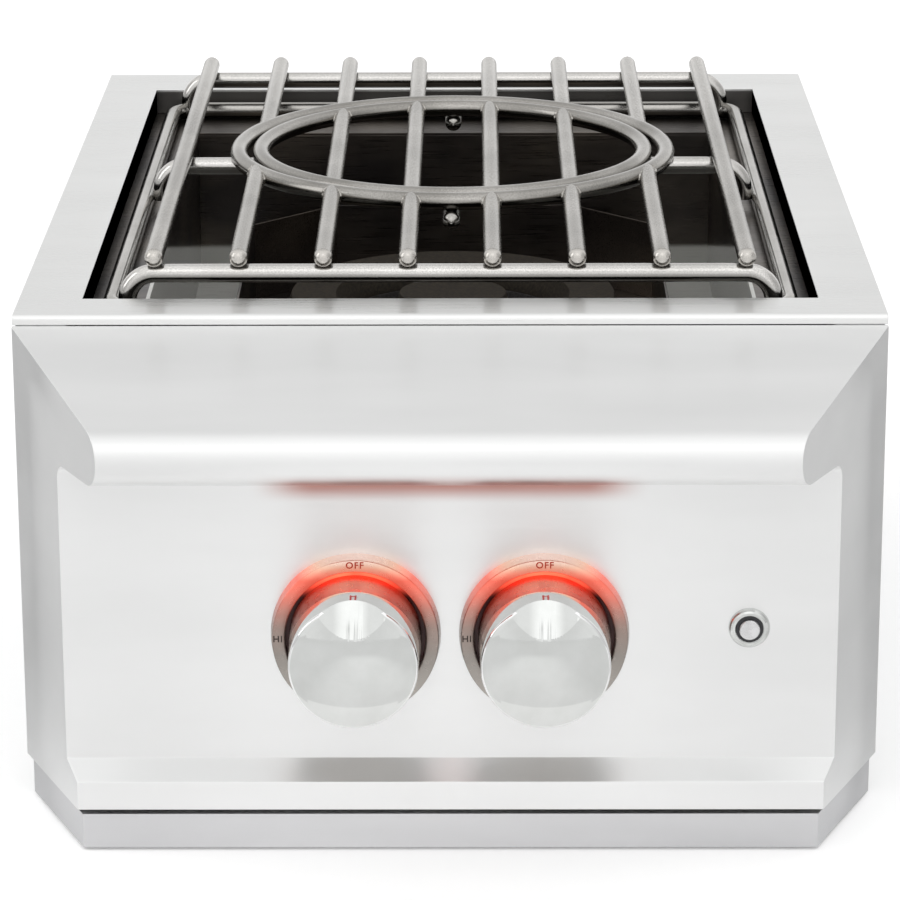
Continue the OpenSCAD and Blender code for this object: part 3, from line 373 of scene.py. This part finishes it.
# Front panel: sheet stainless bent round a 14 mm nose, with slanted wings welded on and ground
# flush, so that only a faint line is left along each mitre. The tray's front is a little greyer.
# Across the middle, the underside of the nose is painted dark red as the lit dials' glow on it.
panel_steel = brushed_steel("brushed_panel_steel", (0.85, 0.853, 0.85), (0.9, 0.903, 0.9), 0.34,
                            wings=True)
edges_broken("front_panel", "control_panel", panel_steel, 0.35, angle=25)
trim_steel = brushed_steel("brushed_trim_steel", (0.64, 0.64, 0.65), (0.72, 0.72, 0.73), 0.34)
edges_broken("tray_front", "tray_trim", trim_steel, 0.35)


# Body: side walls, rear wall, cross rail and heat shield of mill-finish sheet, spot-welded, with
# the drip tray's pan and its runners. They stand inside the island and show from behind.
body_steel = brushed_steel("mill_finish_steel", (0.56, 0.565, 0.57), (0.66, 0.665, 0.67), 0.38,
                           scale=(400, 400, 12), depth=0.003)
for part, name in (("side_wall_left", "left_side_wall"), ("side_wall_right", "right_side_wall"),
                   ("rear_wall", "back_wall"), ("front_crossrail", "cross_rail"),
                   ("heat_shield", "shield_plate"), ("tray_pan", "drip_pan"),
                   ("tray_runners", "pan_runners")):
    edges_broken(part, name, body_steel, 0.25)


# Firebox: the ledge that carries the grate, the well welded under it, the faceted wind guard and
# the burner's brackets. Their steel is coloured dark brown, heat tint together with painted shade
# deep in the firebox. Low in the front corners, at a band of distances from the middle and under
# a plane that falls to the rear, a pale matt patch is painted as light on the well's floor.
lit_patch_slope, lit_patch_level = 0.2593, 0.7747 - 0.5429
lit_patch_from, lit_patch_to, lit_patch_fade = 0.121, 0.157, 4 * MM
painted_lit_steel = (0.66, 0.66, 0.63, 1)


def tinted_and_shaded(name):
    made, n, k, shader = metal(name)
    stain = grain(n, k, (14, 14, 20))
    burnt_and_shaded = tone(n, k, stain, (0.075, 0.068, 0.066), (0.2, 0.172, 0.145), 0.35, 0.7)
    spot = coordinates(n, k)
    edge = math(n, k, "SUBTRACT", lit_patch_level, math(n, k, "MULTIPLY", spot["Y"], lit_patch_slope))
    low = math(n, k, "SUBTRACT", edge, spot["Z"])
    from_middle = absolute(n, k, spot["X"])
    outer = math(n, k, "MULTIPLY",
                 map_range(n, k, from_middle, lit_patch_from, lit_patch_from + lit_patch_fade, 0.0, 1.0),
                 math(n, k, "LESS_THAN", from_middle, lit_patch_to))
    lit_patch = math(n, k, "MULTIPLY", outer, map_range(n, k, low, 0.0, lit_patch_fade, 0.0, 1.0))
    # Painted light: the pale matt patch in the front corners; elsewhere dark heat tint and painted
    # shade.
    k.new(mixed(n, k, "RGBA", lit_patch, burnt_and_shaded, painted_lit_steel), shader.inputs["Base Color"])
    k.new(map_range(n, k, lit_patch, 0.0, 1.0, 1.0, 0.0), shader.inputs["Metallic"])
    fine = grain(n, k, (30, 1600, 1600))
    k.new(map_range(n, k, fine, 0.3, 0.7, 0.26, 0.4), shader.inputs["Roughness"])
    bump(n, k, fine, 0.004, shader)
    return made


tinted_shaded_steel = tinted_and_shaded("heat_tinted_steel")
for part, name in (("firebox_ledge", "grate_ledge"), ("firebox_well", "well_box"),
                   ("wind_guard", "flame_guard"), ("burner_brackets", "bracket_bars")):
    edges_broken(part, name, tinted_shaded_steel, 0.25)
finished("igniter_bracket", tinted_shaded_steel)


# Burner: a rough cast-iron base and two turned brass caps, black with soot. The igniter's
# glazed ceramic sleeve stands beside it, and the gas comes up in two drawn tubes.
def cast_iron():
    made, n, k = material("cast_iron")
    shader = n["Principled BSDF"]
    shader.inputs["Metallic"].default_value = 0.6
    shader.inputs["Roughness"].default_value = 0.62
    pits = grain(n, k, (900, 900, 900))
    colour = tone(n, k, pits, (0.07, 0.066, 0.062), (0.13, 0.124, 0.118))
    k.new(colour, shader.inputs["Base Color"])
    bump(n, k, pits, 0.12, shader)
    return made


def turned_metal(name, dark, light, shine, scale=(300, 300, 300), depth=0.002):
    made, n, k, shader = metal(name)
    spots = grain(n, k, scale)
    k.new(tone(n, k, spots, dark, light), shader.inputs["Base Color"])
    k.new(map_range(n, k, spots, 0.3, 0.7, shine - 0.04, shine + 0.06), shader.inputs["Roughness"])
    bump(n, k, spots, depth, shader)
    return made


def glazed(name, dark, light, shine):
    made, n, k = material(name)
    shader = n["Principled BSDF"]
    spots = grain(n, k, (600, 600, 600))
    k.new(tone(n, k, spots, dark, light), shader.inputs["Base Color"])
    k.new(map_range(n, k, spots, 0.3, 0.7, shine - 0.03, shine + 0.05), shader.inputs["Roughness"])
    bump(n, k, spots, 0.01, shader)
    return made


iron = cast_iron()
flame_brass = glazed("sooted_brass", (0.03, 0.026, 0.022), (0.06, 0.05, 0.038), 0.78)
flame_brass.node_tree.nodes["Principled BSDF"].inputs["Specular IOR Level"].default_value = 0.12
drawn_steel = turned_metal("drawn_steel", (0.5, 0.5, 0.505), (0.6, 0.6, 0.61), 0.3)
ceramic = glazed("glazed_ceramic", (0.84, 0.83, 0.79), (0.92, 0.91, 0.88), 0.18)
edges_broken("burner_base", "burner_casting", iron, 0.5, angle=40)
edges_broken("outer_burner_cap", "outer_flame_cap", flame_brass, 0.2, angle=40)
edges_broken("inner_burner_cap", "inner_flame_cap", flame_brass, 0.2, angle=40)
for part in ("outer_mixer_tube", "inner_mixer_tube", "igniter_electrode"):
    finished(part, drawn_steel)
finished("igniter_ceramic", ceramic)


# Gas train: forged brass valves with turning plugs and sliding stems, a steel manifold, and a
# supply pipe through the rear wall to a flare fitting. The fine brass orifices face the tubes.
valve_brass = turned_metal("machined_brass", (0.68, 0.52, 0.27), (0.8, 0.64, 0.35), 0.25)
for part in ("valve_body_left", "valve_body_right", "valve_plug_left", "valve_plug_right",
             "gas_orifices", "supply_elbow", "inlet_fitting"):
    finished(part, valve_brass)
for part in ("gas_manifold", "supply_pipe", "valve_stem_left", "valve_stem_right",
             "valve_spring_left", "valve_spring_right"):
    finished(part, drawn_steel)


# Knobs: die-cast, chromed and polished, with a domed front and a finger scoop at the top. Fine
# straight knurling runs from the foot half way up the side. Each is pinned to its valve's stem.
# A thin white ring painted round each front edge stands for its highlight, and the sleeve's top
# is painted red as the light ring's glow on it.
knob_x = 46 * MM
panel_y = -285.75 * MM
knob_z = 109 * MM
knob_foot, knob_front_r = (32.2, 5.6), 31.2
knob_edge_z, knob_dome, knob_round, knob_wall = 47.5, 5.0, 2.0, 2.5
scoop_drop, scoop_depth, scoop_r = 15.5, 8.2, 48.0
knurl_end, knurl_count, knurl_depth = 28.0, 220, 0.25
inner_top = knob_edge_z - scoop_depth - knob_wall
hub_foot, hub_r, stem_bore, stem_top = 8.6, 8.0, 4.05, 42.3
waist_z, crest_width = 36.0, 0.28
spin_steps, round_steps, dome_steps = 240, 6, 24
smooth_to, hub_steps, cutter_steps, cutter_long = 28, 48, 360, 120
sleeve_lit, painted_sleeve_glow, painted_edge_highlight = (0.112, 0.141), (0.66, 0.4, 0.37, 1), (0.97, 0.97, 0.97, 1)
out_of_panel = Matrix.Rotation(pi / 2, 4, "X")


def on_panel(x, z):
    return Matrix.Translation((x, panel_y, z)) @ out_of_panel @ Matrix.Diagonal((MM, MM, MM, 1))


def outline_spun(mesh, outline, steps):
    corners = [mesh.verts.new((r, 0, z)) for r, z in outline]
    pairs = list(zip(corners, corners[1:]))
    if outline[0][0] > 0:
        pairs.append((corners[-1], corners[0]))
    sides = [mesh.edges.new(pair) for pair in pairs]
    bmesh.ops.spin(mesh, geom=corners + sides, cent=(0, 0, 0), axis=(0, 0, 1), dvec=(0, 0, 0),
                   angle=2 * pi, steps=steps, use_merge=True, use_duplicate=False)
    bmesh.ops.remove_doubles(mesh, verts=mesh.verts, dist=1e-5)
    bmesh.ops.recalc_face_normals(mesh, faces=mesh.faces)


def polished_chrome():
    made, n, k, shader = metal("polished_chrome")
    haze = grain(n, k, (120, 120, 120))
    spot = coordinates(n, k)
    across = math(n, k, "SUBTRACT", absolute(n, k, spot["X"]), knob_x)
    up = math(n, k, "SUBTRACT", spot["Z"], knob_z)
    squares = math(n, k, "ADD", math(n, k, "MULTIPLY", across, across),
                   math(n, k, "MULTIPLY", up, up))
    # Painted highlight: a thin white ring just inside the knob's rounded front edge.
    edge_r, edge_y = (knob_front_r - 0.7) * MM, panel_y - (knob_edge_z - 2.5) * MM
    from_axis = math(n, k, "SQRT", squares, 0.0)
    outermost = map_range(n, k, from_axis, edge_r - 0.6 * MM, edge_r, 0.0, 1.0)
    edge = math(n, k, "MULTIPLY", outermost, math(n, k, "LESS_THAN", spot["Y"], edge_y))
    plated = tone(n, k, haze, (0.66, 0.672, 0.658), (0.7, 0.712, 0.7))
    k.new(mixed(n, k, "RGBA", edge, plated, painted_edge_highlight), shader.inputs["Base Color"])
    k.new(map_range(n, k, haze, 0.3, 0.7, 0.03, 0.07), shader.inputs["Roughness"])
    bump(n, k, haze, 0.001, shader)
    return made


def knurled():
    made = turned_metal("knurled_chrome", (0.36, 0.325, 0.31), (0.48, 0.44, 0.42), 0.3)
    n, k = made.node_tree.nodes, made.node_tree.links
    # Painted reflection: the sleeve's upper part is tinted red as the light ring's glow; the tint
    # turns with the knob.
    lit = map_range(n, k, coordinates(n, k)["Z"], *sleeve_lit, 0.0, 0.85)
    colour = n["Principled BSDF"].inputs["Base Color"]
    plain = colour.links[0].from_socket
    k.new(mixed(n, k, "RGBA", lit, plain, painted_sleeve_glow), colour)
    return made


def side_r(z):
    return knob_foot[0] + (knob_front_r - knob_foot[0]) * (z - knob_foot[1]) / (
        knob_edge_z - knob_round - knob_foot[1])


def knob_cap():
    rim = knob_front_r - knob_round
    dome_r = (rim ** 2 + knob_dome ** 2) / (2 * knob_dome)
    centre_z = knob_edge_z + knob_dome - dome_r
    span = asin(rim / dome_r)
    outline = [(0, stem_top), (stem_bore, stem_top), (stem_bore, inner_top),
               (knob_front_r - knob_wall, inner_top), (side_r(knurl_end) - knob_wall, knurl_end),
               (side_r(knurl_end), knurl_end), (side_r(waist_z), waist_z)]
    for i in range(round_steps + 1):
        a = i * (pi / 2 - span) / round_steps
        outline.append((rim + knob_round * cos(a), knob_edge_z - knob_round + knob_round * sin(a)))
    for i in range(1, dome_steps + 1):
        a = span * (1 - i / dome_steps)
        outline.append((dome_r * sin(a), centre_z + dome_r * cos(a)))
    mesh = bmesh.new()
    outline_spun(mesh, outline, spin_steps)
    scoop_y = knob_front_r - scoop_drop
    scoop_z = centre_z + sqrt(dome_r ** 2 - scoop_y ** 2)
    tilt = atan((scoop_z - knob_edge_z + scoop_depth) / scoop_drop)
    cutter = bmesh.new()
    bmesh.ops.create_cone(cutter, cap_ends=True, segments=cutter_steps, radius1=scoop_r,
                          radius2=scoop_r, depth=cutter_long)
    cutter.transform(Matrix.Translation((0, scoop_y, scoop_z)) @ Matrix.Rotation(-tilt, 4, "X")
                     @ Matrix.Translation((0, 0, scoop_r)) @ Matrix.Rotation(pi / 2, 4, "X"))
    carved = cut(mesh, cutter)
    crest = [e for e in carved.edges
             if len(e.link_faces) == 2 and e.calc_face_angle(0) > radians(14)
             and min(v.co.z for v in e.verts) > knob_edge_z - scoop_depth - 1
             and max(v.co.xy.length for v in e.verts) < knob_front_r - 0.4]
    bmesh.ops.bevel(carved, geom=crest, offset=crest_width, segments=2, affect="EDGES",
                    clamp_overlap=True)
    return carved


def cut(mesh, cutter):
    pair = []
    for name, made in (("whole", mesh), ("cutter", cutter)):
        data = bpy.data.meshes.new(name)
        made.to_mesh(data)
        made.free()
        pair.append(new_object(name, data))
    scoop = pair[0].modifiers.new("scoop", "BOOLEAN")
    scoop.object = pair[1]
    scoop.solver = "EXACT"
    bpy.context.view_layer.update()
    carved = pair[0].evaluated_get(bpy.context.evaluated_depsgraph_get()).to_mesh()
    result = bmesh.new()
    result.from_mesh(carved)
    for spare in pair:
        spare_data = spare.data
        bpy.data.objects.remove(spare)
        bpy.data.meshes.remove(spare_data)
    return result


def knurled_sleeve():
    mesh = bmesh.new()
    foot_r, foot_z = knob_foot
    outer = [(side_r(z), z) for z in (foot_z, foot_z + 0.4, knurl_end - 0.5, knurl_end)]
    inner = [(side_r(knurl_end) - knob_wall, knurl_end), (foot_r - knob_wall, foot_z)]
    outline_spun(mesh, outer + inner, 2 * knurl_count)
    for v in mesh.verts:
        column = round((v.co.xy.angle_signed(Vector((1, 0))) % (2 * pi)) * knurl_count / pi)
        outside = v.co.xy.length > (foot_r + knob_front_r - knob_wall) / 2
        if column % 2 and outside and foot_z + 0.1 < v.co.z < knurl_end - 0.1:
            v.co.xy *= 1 - knurl_depth / v.co.xy.length
    return mesh


def hub_added(knob):
    hub = bmesh.new()
    outline_spun(hub, [(stem_bore, hub_foot), (hub_r, hub_foot), (hub_r, inner_top),
                       (stem_bore, inner_top)], hub_steps)
    data = bpy.data.meshes.new("hub")
    hub.to_mesh(data)
    hub.free()
    knob.from_mesh(data)
    bpy.data.meshes.remove(data)


chrome = polished_chrome()
knurled_chrome = knurled()
for side, x in (("left", -knob_x), ("right", knob_x)):
    knob = knob_cap()
    sleeve = knurled_sleeve()
    hub_added(knob)
    for mesh, name, finish, swap in ((sleeve, "_knob_sleeve", knurled_chrome, False),
                                     (knob, "_knob", chrome, True)):
        mesh.transform(on_panel(x, knob_z))
        placed(side + name, mesh, finish, "knob_" + side, replace=swap, angle=smooth_to)


# Pointers: small red enamel arches let into the top of each knob, behind the scoop. Between an
# arch's two feet and beside it, the block is painted pale white as the highlight on the chrome.
arch_gap, arch_half, arch_foot = 0.7 * MM, 1.6 * MM, panel_y - 34.6 * MM


def pointer_enamel(name, x):
    made, n, k = material(name)
    shader = n["Principled BSDF"]
    shader.inputs["Roughness"].default_value = 0.3
    spot = coordinates(n, k)
    from_axis = absolute(n, k, math(n, k, "SUBTRACT", spot["X"], x))
    between = math(n, k, "LESS_THAN", from_axis, arch_gap)
    ahead = math(n, k, "LESS_THAN", spot["Y"], arch_foot)
    beside = math(n, k, "GREATER_THAN", from_axis, arch_half)
    highlight_mask = math(n, k, "MAXIMUM", math(n, k, "MULTIPLY", between, ahead), beside)
    # Painted highlight: pale white round and between the arch's feet.
    red, painted_pointer_highlight = (0.6, 0.006, 0.01, 1), (0.8, 0.78, 0.78, 1)
    k.new(mixed(n, k, "RGBA", highlight_mask, red, painted_pointer_highlight), shader.inputs["Base Color"])
    bump(n, k, grain(n, k, (600, 600, 600)), 0.005, shader)
    return made


finished("pointer_left", pointer_enamel("left_red_enamel", -knob_x))
finished("pointer_right", pointer_enamel("right_red_enamel", knob_x))


# Dial rings: turned satin stainless with filled lettering, a red OFF at the top, a brown HI at
# the left and LO at the bottom. A red light ring glows in the gap round each knob, painted
# strongest at its top. The dial's steel is painted from brown-grey low down through red to white
# at the top, with a faint red emission, as the light ring's glow and the glare above OFF.
dial_outline = [(24.0, 0.0), (41.5, 0.0), (41.5, 0.8), (40.6, 7.6), (40.3, 7.95), (40.0, 8.0),
                (35.3, 8.0), (34.8, 7.9), (34.4, 7.4), (34.4, 1.0), (24.0, 1.0)]
painted_dial_glow_tones = ((0.068, (0.47, 0.45, 0.42)), (0.1, (0.33, 0.3, 0.275)), (0.124, (0.4, 0.27, 0.23)),
              (0.139, (0.72, 0.2, 0.15)), (0.1455, (0.97, 0.7, 0.52)),
              (0.15, (0.97, 0.86, 0.76)))
letter_brown = glazed("letter_brown", (0.03, 0.016, 0.012), (0.05, 0.027, 0.02), 0.45)
letter_red = glazed("letter_red", (0.5, 0.035, 0.01), (0.62, 0.06, 0.015), 0.45)
dial_lit, dial_glare, ring_lit = (0.112, 0.137), (0.141, 0.147), (0.128, 0.1435)
letter_height, cap_share, letter_top = 3.3, 0.72, 8.03
letter_places = (("OFF", 0, 37.9, letter_red), ("HI", -37.8, 0, letter_brown),
                 ("LO", 0, -37.9, letter_brown))


def painted_glow_dial_metal():
    made, n, k, shader = metal("lit_dial_steel")
    # Painted glow and glare: colour and a red emission that change with height on the ring.
    height = coordinates(n, k)["Z"]
    lowest, highest = painted_dial_glow_tones[0][0], painted_dial_glow_tones[-1][0]
    ramp = node(n, "ValToRGB")
    for i, (z, colour) in enumerate(painted_dial_glow_tones):
        at = (z - lowest) / (highest - lowest)
        stop = ramp.color_ramp.elements[i] if i < 2 else ramp.color_ramp.elements.new(at)
        stop.position = at
        stop.color = (*colour, 1)
    up = math(n, k, "DIVIDE", math(n, k, "SUBTRACT", height, lowest), highest - lowest)
    k.new(up, ramp.inputs["Fac"])
    k.new(ramp.outputs["Color"], shader.inputs["Base Color"])
    shader.inputs["Emission Color"].default_value = (1.0, 0.1, 0.05, 1)
    rising = map_range(n, k, height, *dial_lit, 0.0, 0.42)
    fading = map_range(n, k, height, *dial_glare, 1.0, 0.3)
    k.new(math(n, k, "MULTIPLY", rising, fading), shader.inputs["Emission Strength"])
    turned = grain(n, k, (300, 300, 300))
    k.new(map_range(n, k, turned, 0.3, 0.7, 0.26, 0.34), shader.inputs["Roughness"])
    bump(n, k, turned, 0.002, shader)
    return made


def lettering(words):
    flat = bpy.data.curves.new("words", "FONT")
    flat.body = words
    flat.size = letter_height / cap_share
    flat.align_x = "CENTER"
    flat.align_y = "CENTER"
    flat.space_character = 1.15
    flat.offset = 0.1
    flat.extrude = 0.04
    flat.resolution_u = 4
    holder = new_object("words", flat)
    bpy.context.view_layer.update()
    solid = bmesh.new()
    solid.from_mesh(holder.evaluated_get(bpy.context.evaluated_depsgraph_get()).to_mesh())
    bpy.data.objects.remove(holder)
    bpy.data.curves.remove(flat)
    return solid


def light_ring():
    made, n, k = material("glowing_red_acrylic")
    shader = n["Principled BSDF"]
    shader.inputs["Roughness"].default_value = 0.35
    cloudy = grain(n, k, (90, 90, 90))
    unlit = tone(n, k, cloudy, (0.05, 0.006, 0.005), (0.09, 0.01, 0.008))
    lit = tone(n, k, cloudy, (1.0, 0.06, 0.03), (1.0, 0.1, 0.05))
    k.new(unlit, shader.inputs["Base Color"])
    k.new(lit, shader.inputs["Emission Color"])
    # Painted glow: the ring emits only towards its top, strongest at the top.
    glowing = map_range(n, k, coordinates(n, k)["Z"], *ring_lit, 0.0, 3.0)
    k.new(glowing, shader.inputs["Emission Strength"])
    return made


red_glow = light_ring()
painted_glow_dial_steel = painted_glow_dial_metal()
for side, x in (("left", -knob_x), ("right", knob_x)):
    ring = bmesh.new()
    outline_spun(ring, dial_outline, spin_steps)
    ring.transform(on_panel(x, knob_z))
    placed(side + "_dial", ring, painted_glow_dial_steel, "dial_ring_" + side, angle=smooth_to)
    for words, across, up, ink in letter_places:
        letters = lettering(words)
        letters.transform(on_panel(x, knob_z) @ Matrix.Translation((across, up, letter_top)))
        placed(side + "_dial_" + words, letters, ink, "dial_ring_" + side, replace=False)
    finished("light_ring_" + side, red_glow)


# Light switch: a black moulded body held by a hexagon nut behind the panel, with a polished
# collar in front and a satin button that is pushed to light the dials.
black_plastic = glazed("black_plastic", (0.022, 0.022, 0.025), (0.035, 0.035, 0.04), 0.4)
button_steel = turned_metal("satin_button_steel", (0.7, 0.7, 0.705), (0.78, 0.78, 0.785), 0.26)
for part in ("switch_body", "power_socket"):
    finished(part, black_plastic)
finished("switch_collar", chrome)
finished("switch_nut", drawn_steel)
finished("switch_button", button_steel)


# Screws: pan heads that hold the panel, the valves and the burner's brackets.
for part in ("panel_screws", "valve_screws", "bracket_screws"):
    finished(part, drawn_steel)


# Grate: 9.5 mm round stainless bar, bent, welded and bead-blasted, with a ring that lifts out of
# its middle. It has gone a warm grey and grows lighter towards the rear. Its undersides are
# painted near black as shade, and the rods' front ends are painted bright as their highlight.
painted_underside_shade, speck_tone = (0.06, 0.056, 0.05, 1), (0.13, 0.125, 0.117, 1)
painted_end_highlight, highlight_from, highlight_to = (0.62, 0.595, 0.56, 1), 3 * MM, 4.5 * MM
lighter_rear, nowhere = (0.1, 0.3), -1.0


def blasted_bar(name, dark, light, rear_light, specks, rough, front_end):
    made, n, k, shader = metal(name)
    stain = grain(n, k, (18, 18, 18))
    wear_and_shade = tone(n, k, stain, dark, light, 0.35, 0.65)
    along = coordinates(n, k)["Y"]
    # Lighter towards the rear.
    rear = map_range(n, k, along, *lighter_rear, 0.0, 0.6)
    wear_and_shade = mixed(n, k, "RGBA", rear, wear_and_shade, (*rear_light, 1))
    grit = grain(n, k, (1500, 1500, 1500))
    speck = map_range(n, k, grit, 0.38, 0.62, specks, 0.0)
    wear_and_shade = mixed(n, k, "RGBA", speck, wear_and_shade, speck_tone)
    # Painted shade: faces that turn downwards are coloured near black.
    shaded_underneath = map_range(n, k, coordinates(n, k, "Normal")["Z"], -0.35, 0.36, 0.82, 0.0)
    wear_and_shade = mixed(n, k, "RGBA", shaded_underneath, wear_and_shade, painted_underside_shade)
    # Painted highlight: the rods' front ends are coloured bright.
    end_highlight = map_range(n, k, along, front_end + highlight_from, front_end + highlight_to, 1.0, 0.0)
    k.new(mixed(n, k, "RGBA", end_highlight, wear_and_shade, painted_end_highlight), shader.inputs["Base Color"])
    k.new(map_range(n, k, grit, 0.3, 0.7, rough - 0.05, rough + 0.05), shader.inputs["Roughness"])
    bump(n, k, grit, 0.02, shader)
    return made


rods_from = min(v.co.y for v in nodes["grate_rods"].data.vertices)
# Each group of bars gets its own copy of the blasted steel; the cross bars' copy is made much
# lighter as painted light.
bar_finishes = (
    ("blasted_rod", (0.36, 0.345, 0.32), (0.5, 0.48, 0.45), (0.7, 0.68, 0.645), 0.4, 0.24,
     rods_from, ("grate_rods", "lift_out_rods")),
    ("blasted_ring", (0.33, 0.317, 0.295), (0.5, 0.484, 0.457), (0.5, 0.48, 0.45), 0.3, 0.2,
     nowhere, ("grate_outer_ring", "lift_out_ring")),
    ("smooth_cross_bar", (0.62, 0.605, 0.58), (0.76, 0.745, 0.72), (0.66, 0.645, 0.62), 0.2, 0.14,
     nowhere, ("cross_bar_front", "cross_bar_rear", "side_ring_rests")),
    ("smooth_loop", (0.42, 0.405, 0.38), (0.56, 0.545, 0.52), (0.45, 0.435, 0.41), 0.2, 0.18,
     nowhere, ("grate_base_loop", "end_ring_rests")))
for *finish, parts in bar_finishes:
    bar_steel = blasted_bar(*finish)
    for part in parts:
        finished(part, bar_steel)


# Weld beads: small rippled fillets where the rods meet the rings and the cross bars, and where
# the legs meet the base loop. They have stayed a little brighter than the blasted bar.
bar_r, rod_z, cross_z, loop_z = 4.75, 18.0, 9.1, -9.95
outer_r, inner_r, ring_y = 119.0, 106.7, 278.0
rod_count, rod_pitch, cross_y = 8, 42.5, (46.0, 504.0)
leg_x, loop_x, deck_top = 172.0, 162.8, 253 * MM
bead_sides, bead_steps, bead_sink = 8, 40, 0.5
bead_ripple, bead_ripples, ring_bead_r, ring_bead_thin, crossing_bead_r = 0.22, 10, 0.95, 0.75, 0.9


def bead(mesh, path, thick, proud_sides=0.0):
    centre = sum(path, Vector()) / len(path)
    rings = []
    for i, point in enumerate(path):
        along = (path[(i + 1) % len(path)] - path[i - 1]).normalized()
        out = (point - centre) - along * (point - centre).dot(along)
        out.normalize()
        other = along.cross(out)
        to_side = abs(cos(2 * pi * i / len(path)))
        ripple = 1 + bead_ripple * sin(i * 2 * pi * bead_ripples / len(path))
        r = thick * ripple * (1 - proud_sides * (1 - to_side))
        rings.append([mesh.verts.new(point + r * (cos(a) * out + sin(a) * other))
                      for a in [2 * pi * j / bead_sides for j in range(bead_sides)]])
    for i, ring in enumerate(rings):
        after = rings[(i + 1) % len(rings)]
        for j in range(bead_sides):
            side = (j + 1) % bead_sides
            mesh.faces.new((ring[j], after[j], after[side], ring[side]))


def ring_bead(mesh, x, r, outside, side):
    path = []
    for i in range(bead_steps):
        a = 2 * pi * i / bead_steps
        px, pz = x + bar_r * cos(a), rod_z + (bar_r - bead_sink) * sin(a)
        reach = r + outside * bar_r * abs(cos(a))
        path.append(Vector((px, ring_y + side * sqrt(reach ** 2 - px ** 2), pz)))
    bead(mesh, path, ring_bead_r, ring_bead_thin)


def crossing_bead(mesh, x, y, top, bottom, upright):
    half = sqrt(bar_r ** 2 - ((top - bottom) / 2) ** 2)
    path = []
    for i in range(bead_steps):
        a = 2 * pi * i / bead_steps
        u, w = half * cos(a), half * sin(a)
        lift = top - sqrt(bar_r ** 2 - u ** 2)
        path.append(Vector((x + lift * upright[0] + u * upright[1],
                            y + w, lift * upright[2] + u * upright[3])))
    bead(mesh, path, crossing_bead_r)


weld_steel = turned_metal("weld_metal", (0.3, 0.28, 0.25), (0.62, 0.6, 0.57), 0.22,
                          (500, 500, 500))
grate_welds, lift_out_welds = bmesh.new(), bmesh.new()
on_deck = Matrix.Translation((0, rim_front, deck_top)) @ Matrix.Diagonal((MM, MM, MM, 1))
rod_x = [(i - (rod_count - 1) / 2) * rod_pitch for i in range(rod_count)]
for side in (-1, 1):
    for x in rod_x:
        if abs(x) < outer_r:
            ring_bead(grate_welds, x, outer_r, 1, side)
        if abs(x) < inner_r - bar_r:
            ring_bead(lift_out_welds, x, inner_r, -1, side)
for y in cross_y:
    for x in rod_x:
        crossing_bead(grate_welds, x, y, rod_z, cross_z, (0, 1, 1, 0))
    for side in (-1, 1):
        crossing_bead(grate_welds, 0, y, leg_x, loop_x, (side, 0, 0, 1))
for v in grate_welds.verts:
    if abs(v.co.x) > loop_x - bar_r:
        v.co.z += loop_z
for mesh, name, part in ((grate_welds, "grate_weld_beads", "grate_rods"),
                         (lift_out_welds, "lift_out_weld_beads", "lift_out_rods")):
    mesh.transform(on_deck)
    placed(name, mesh, weld_steel, part, replace=False, angle=60)
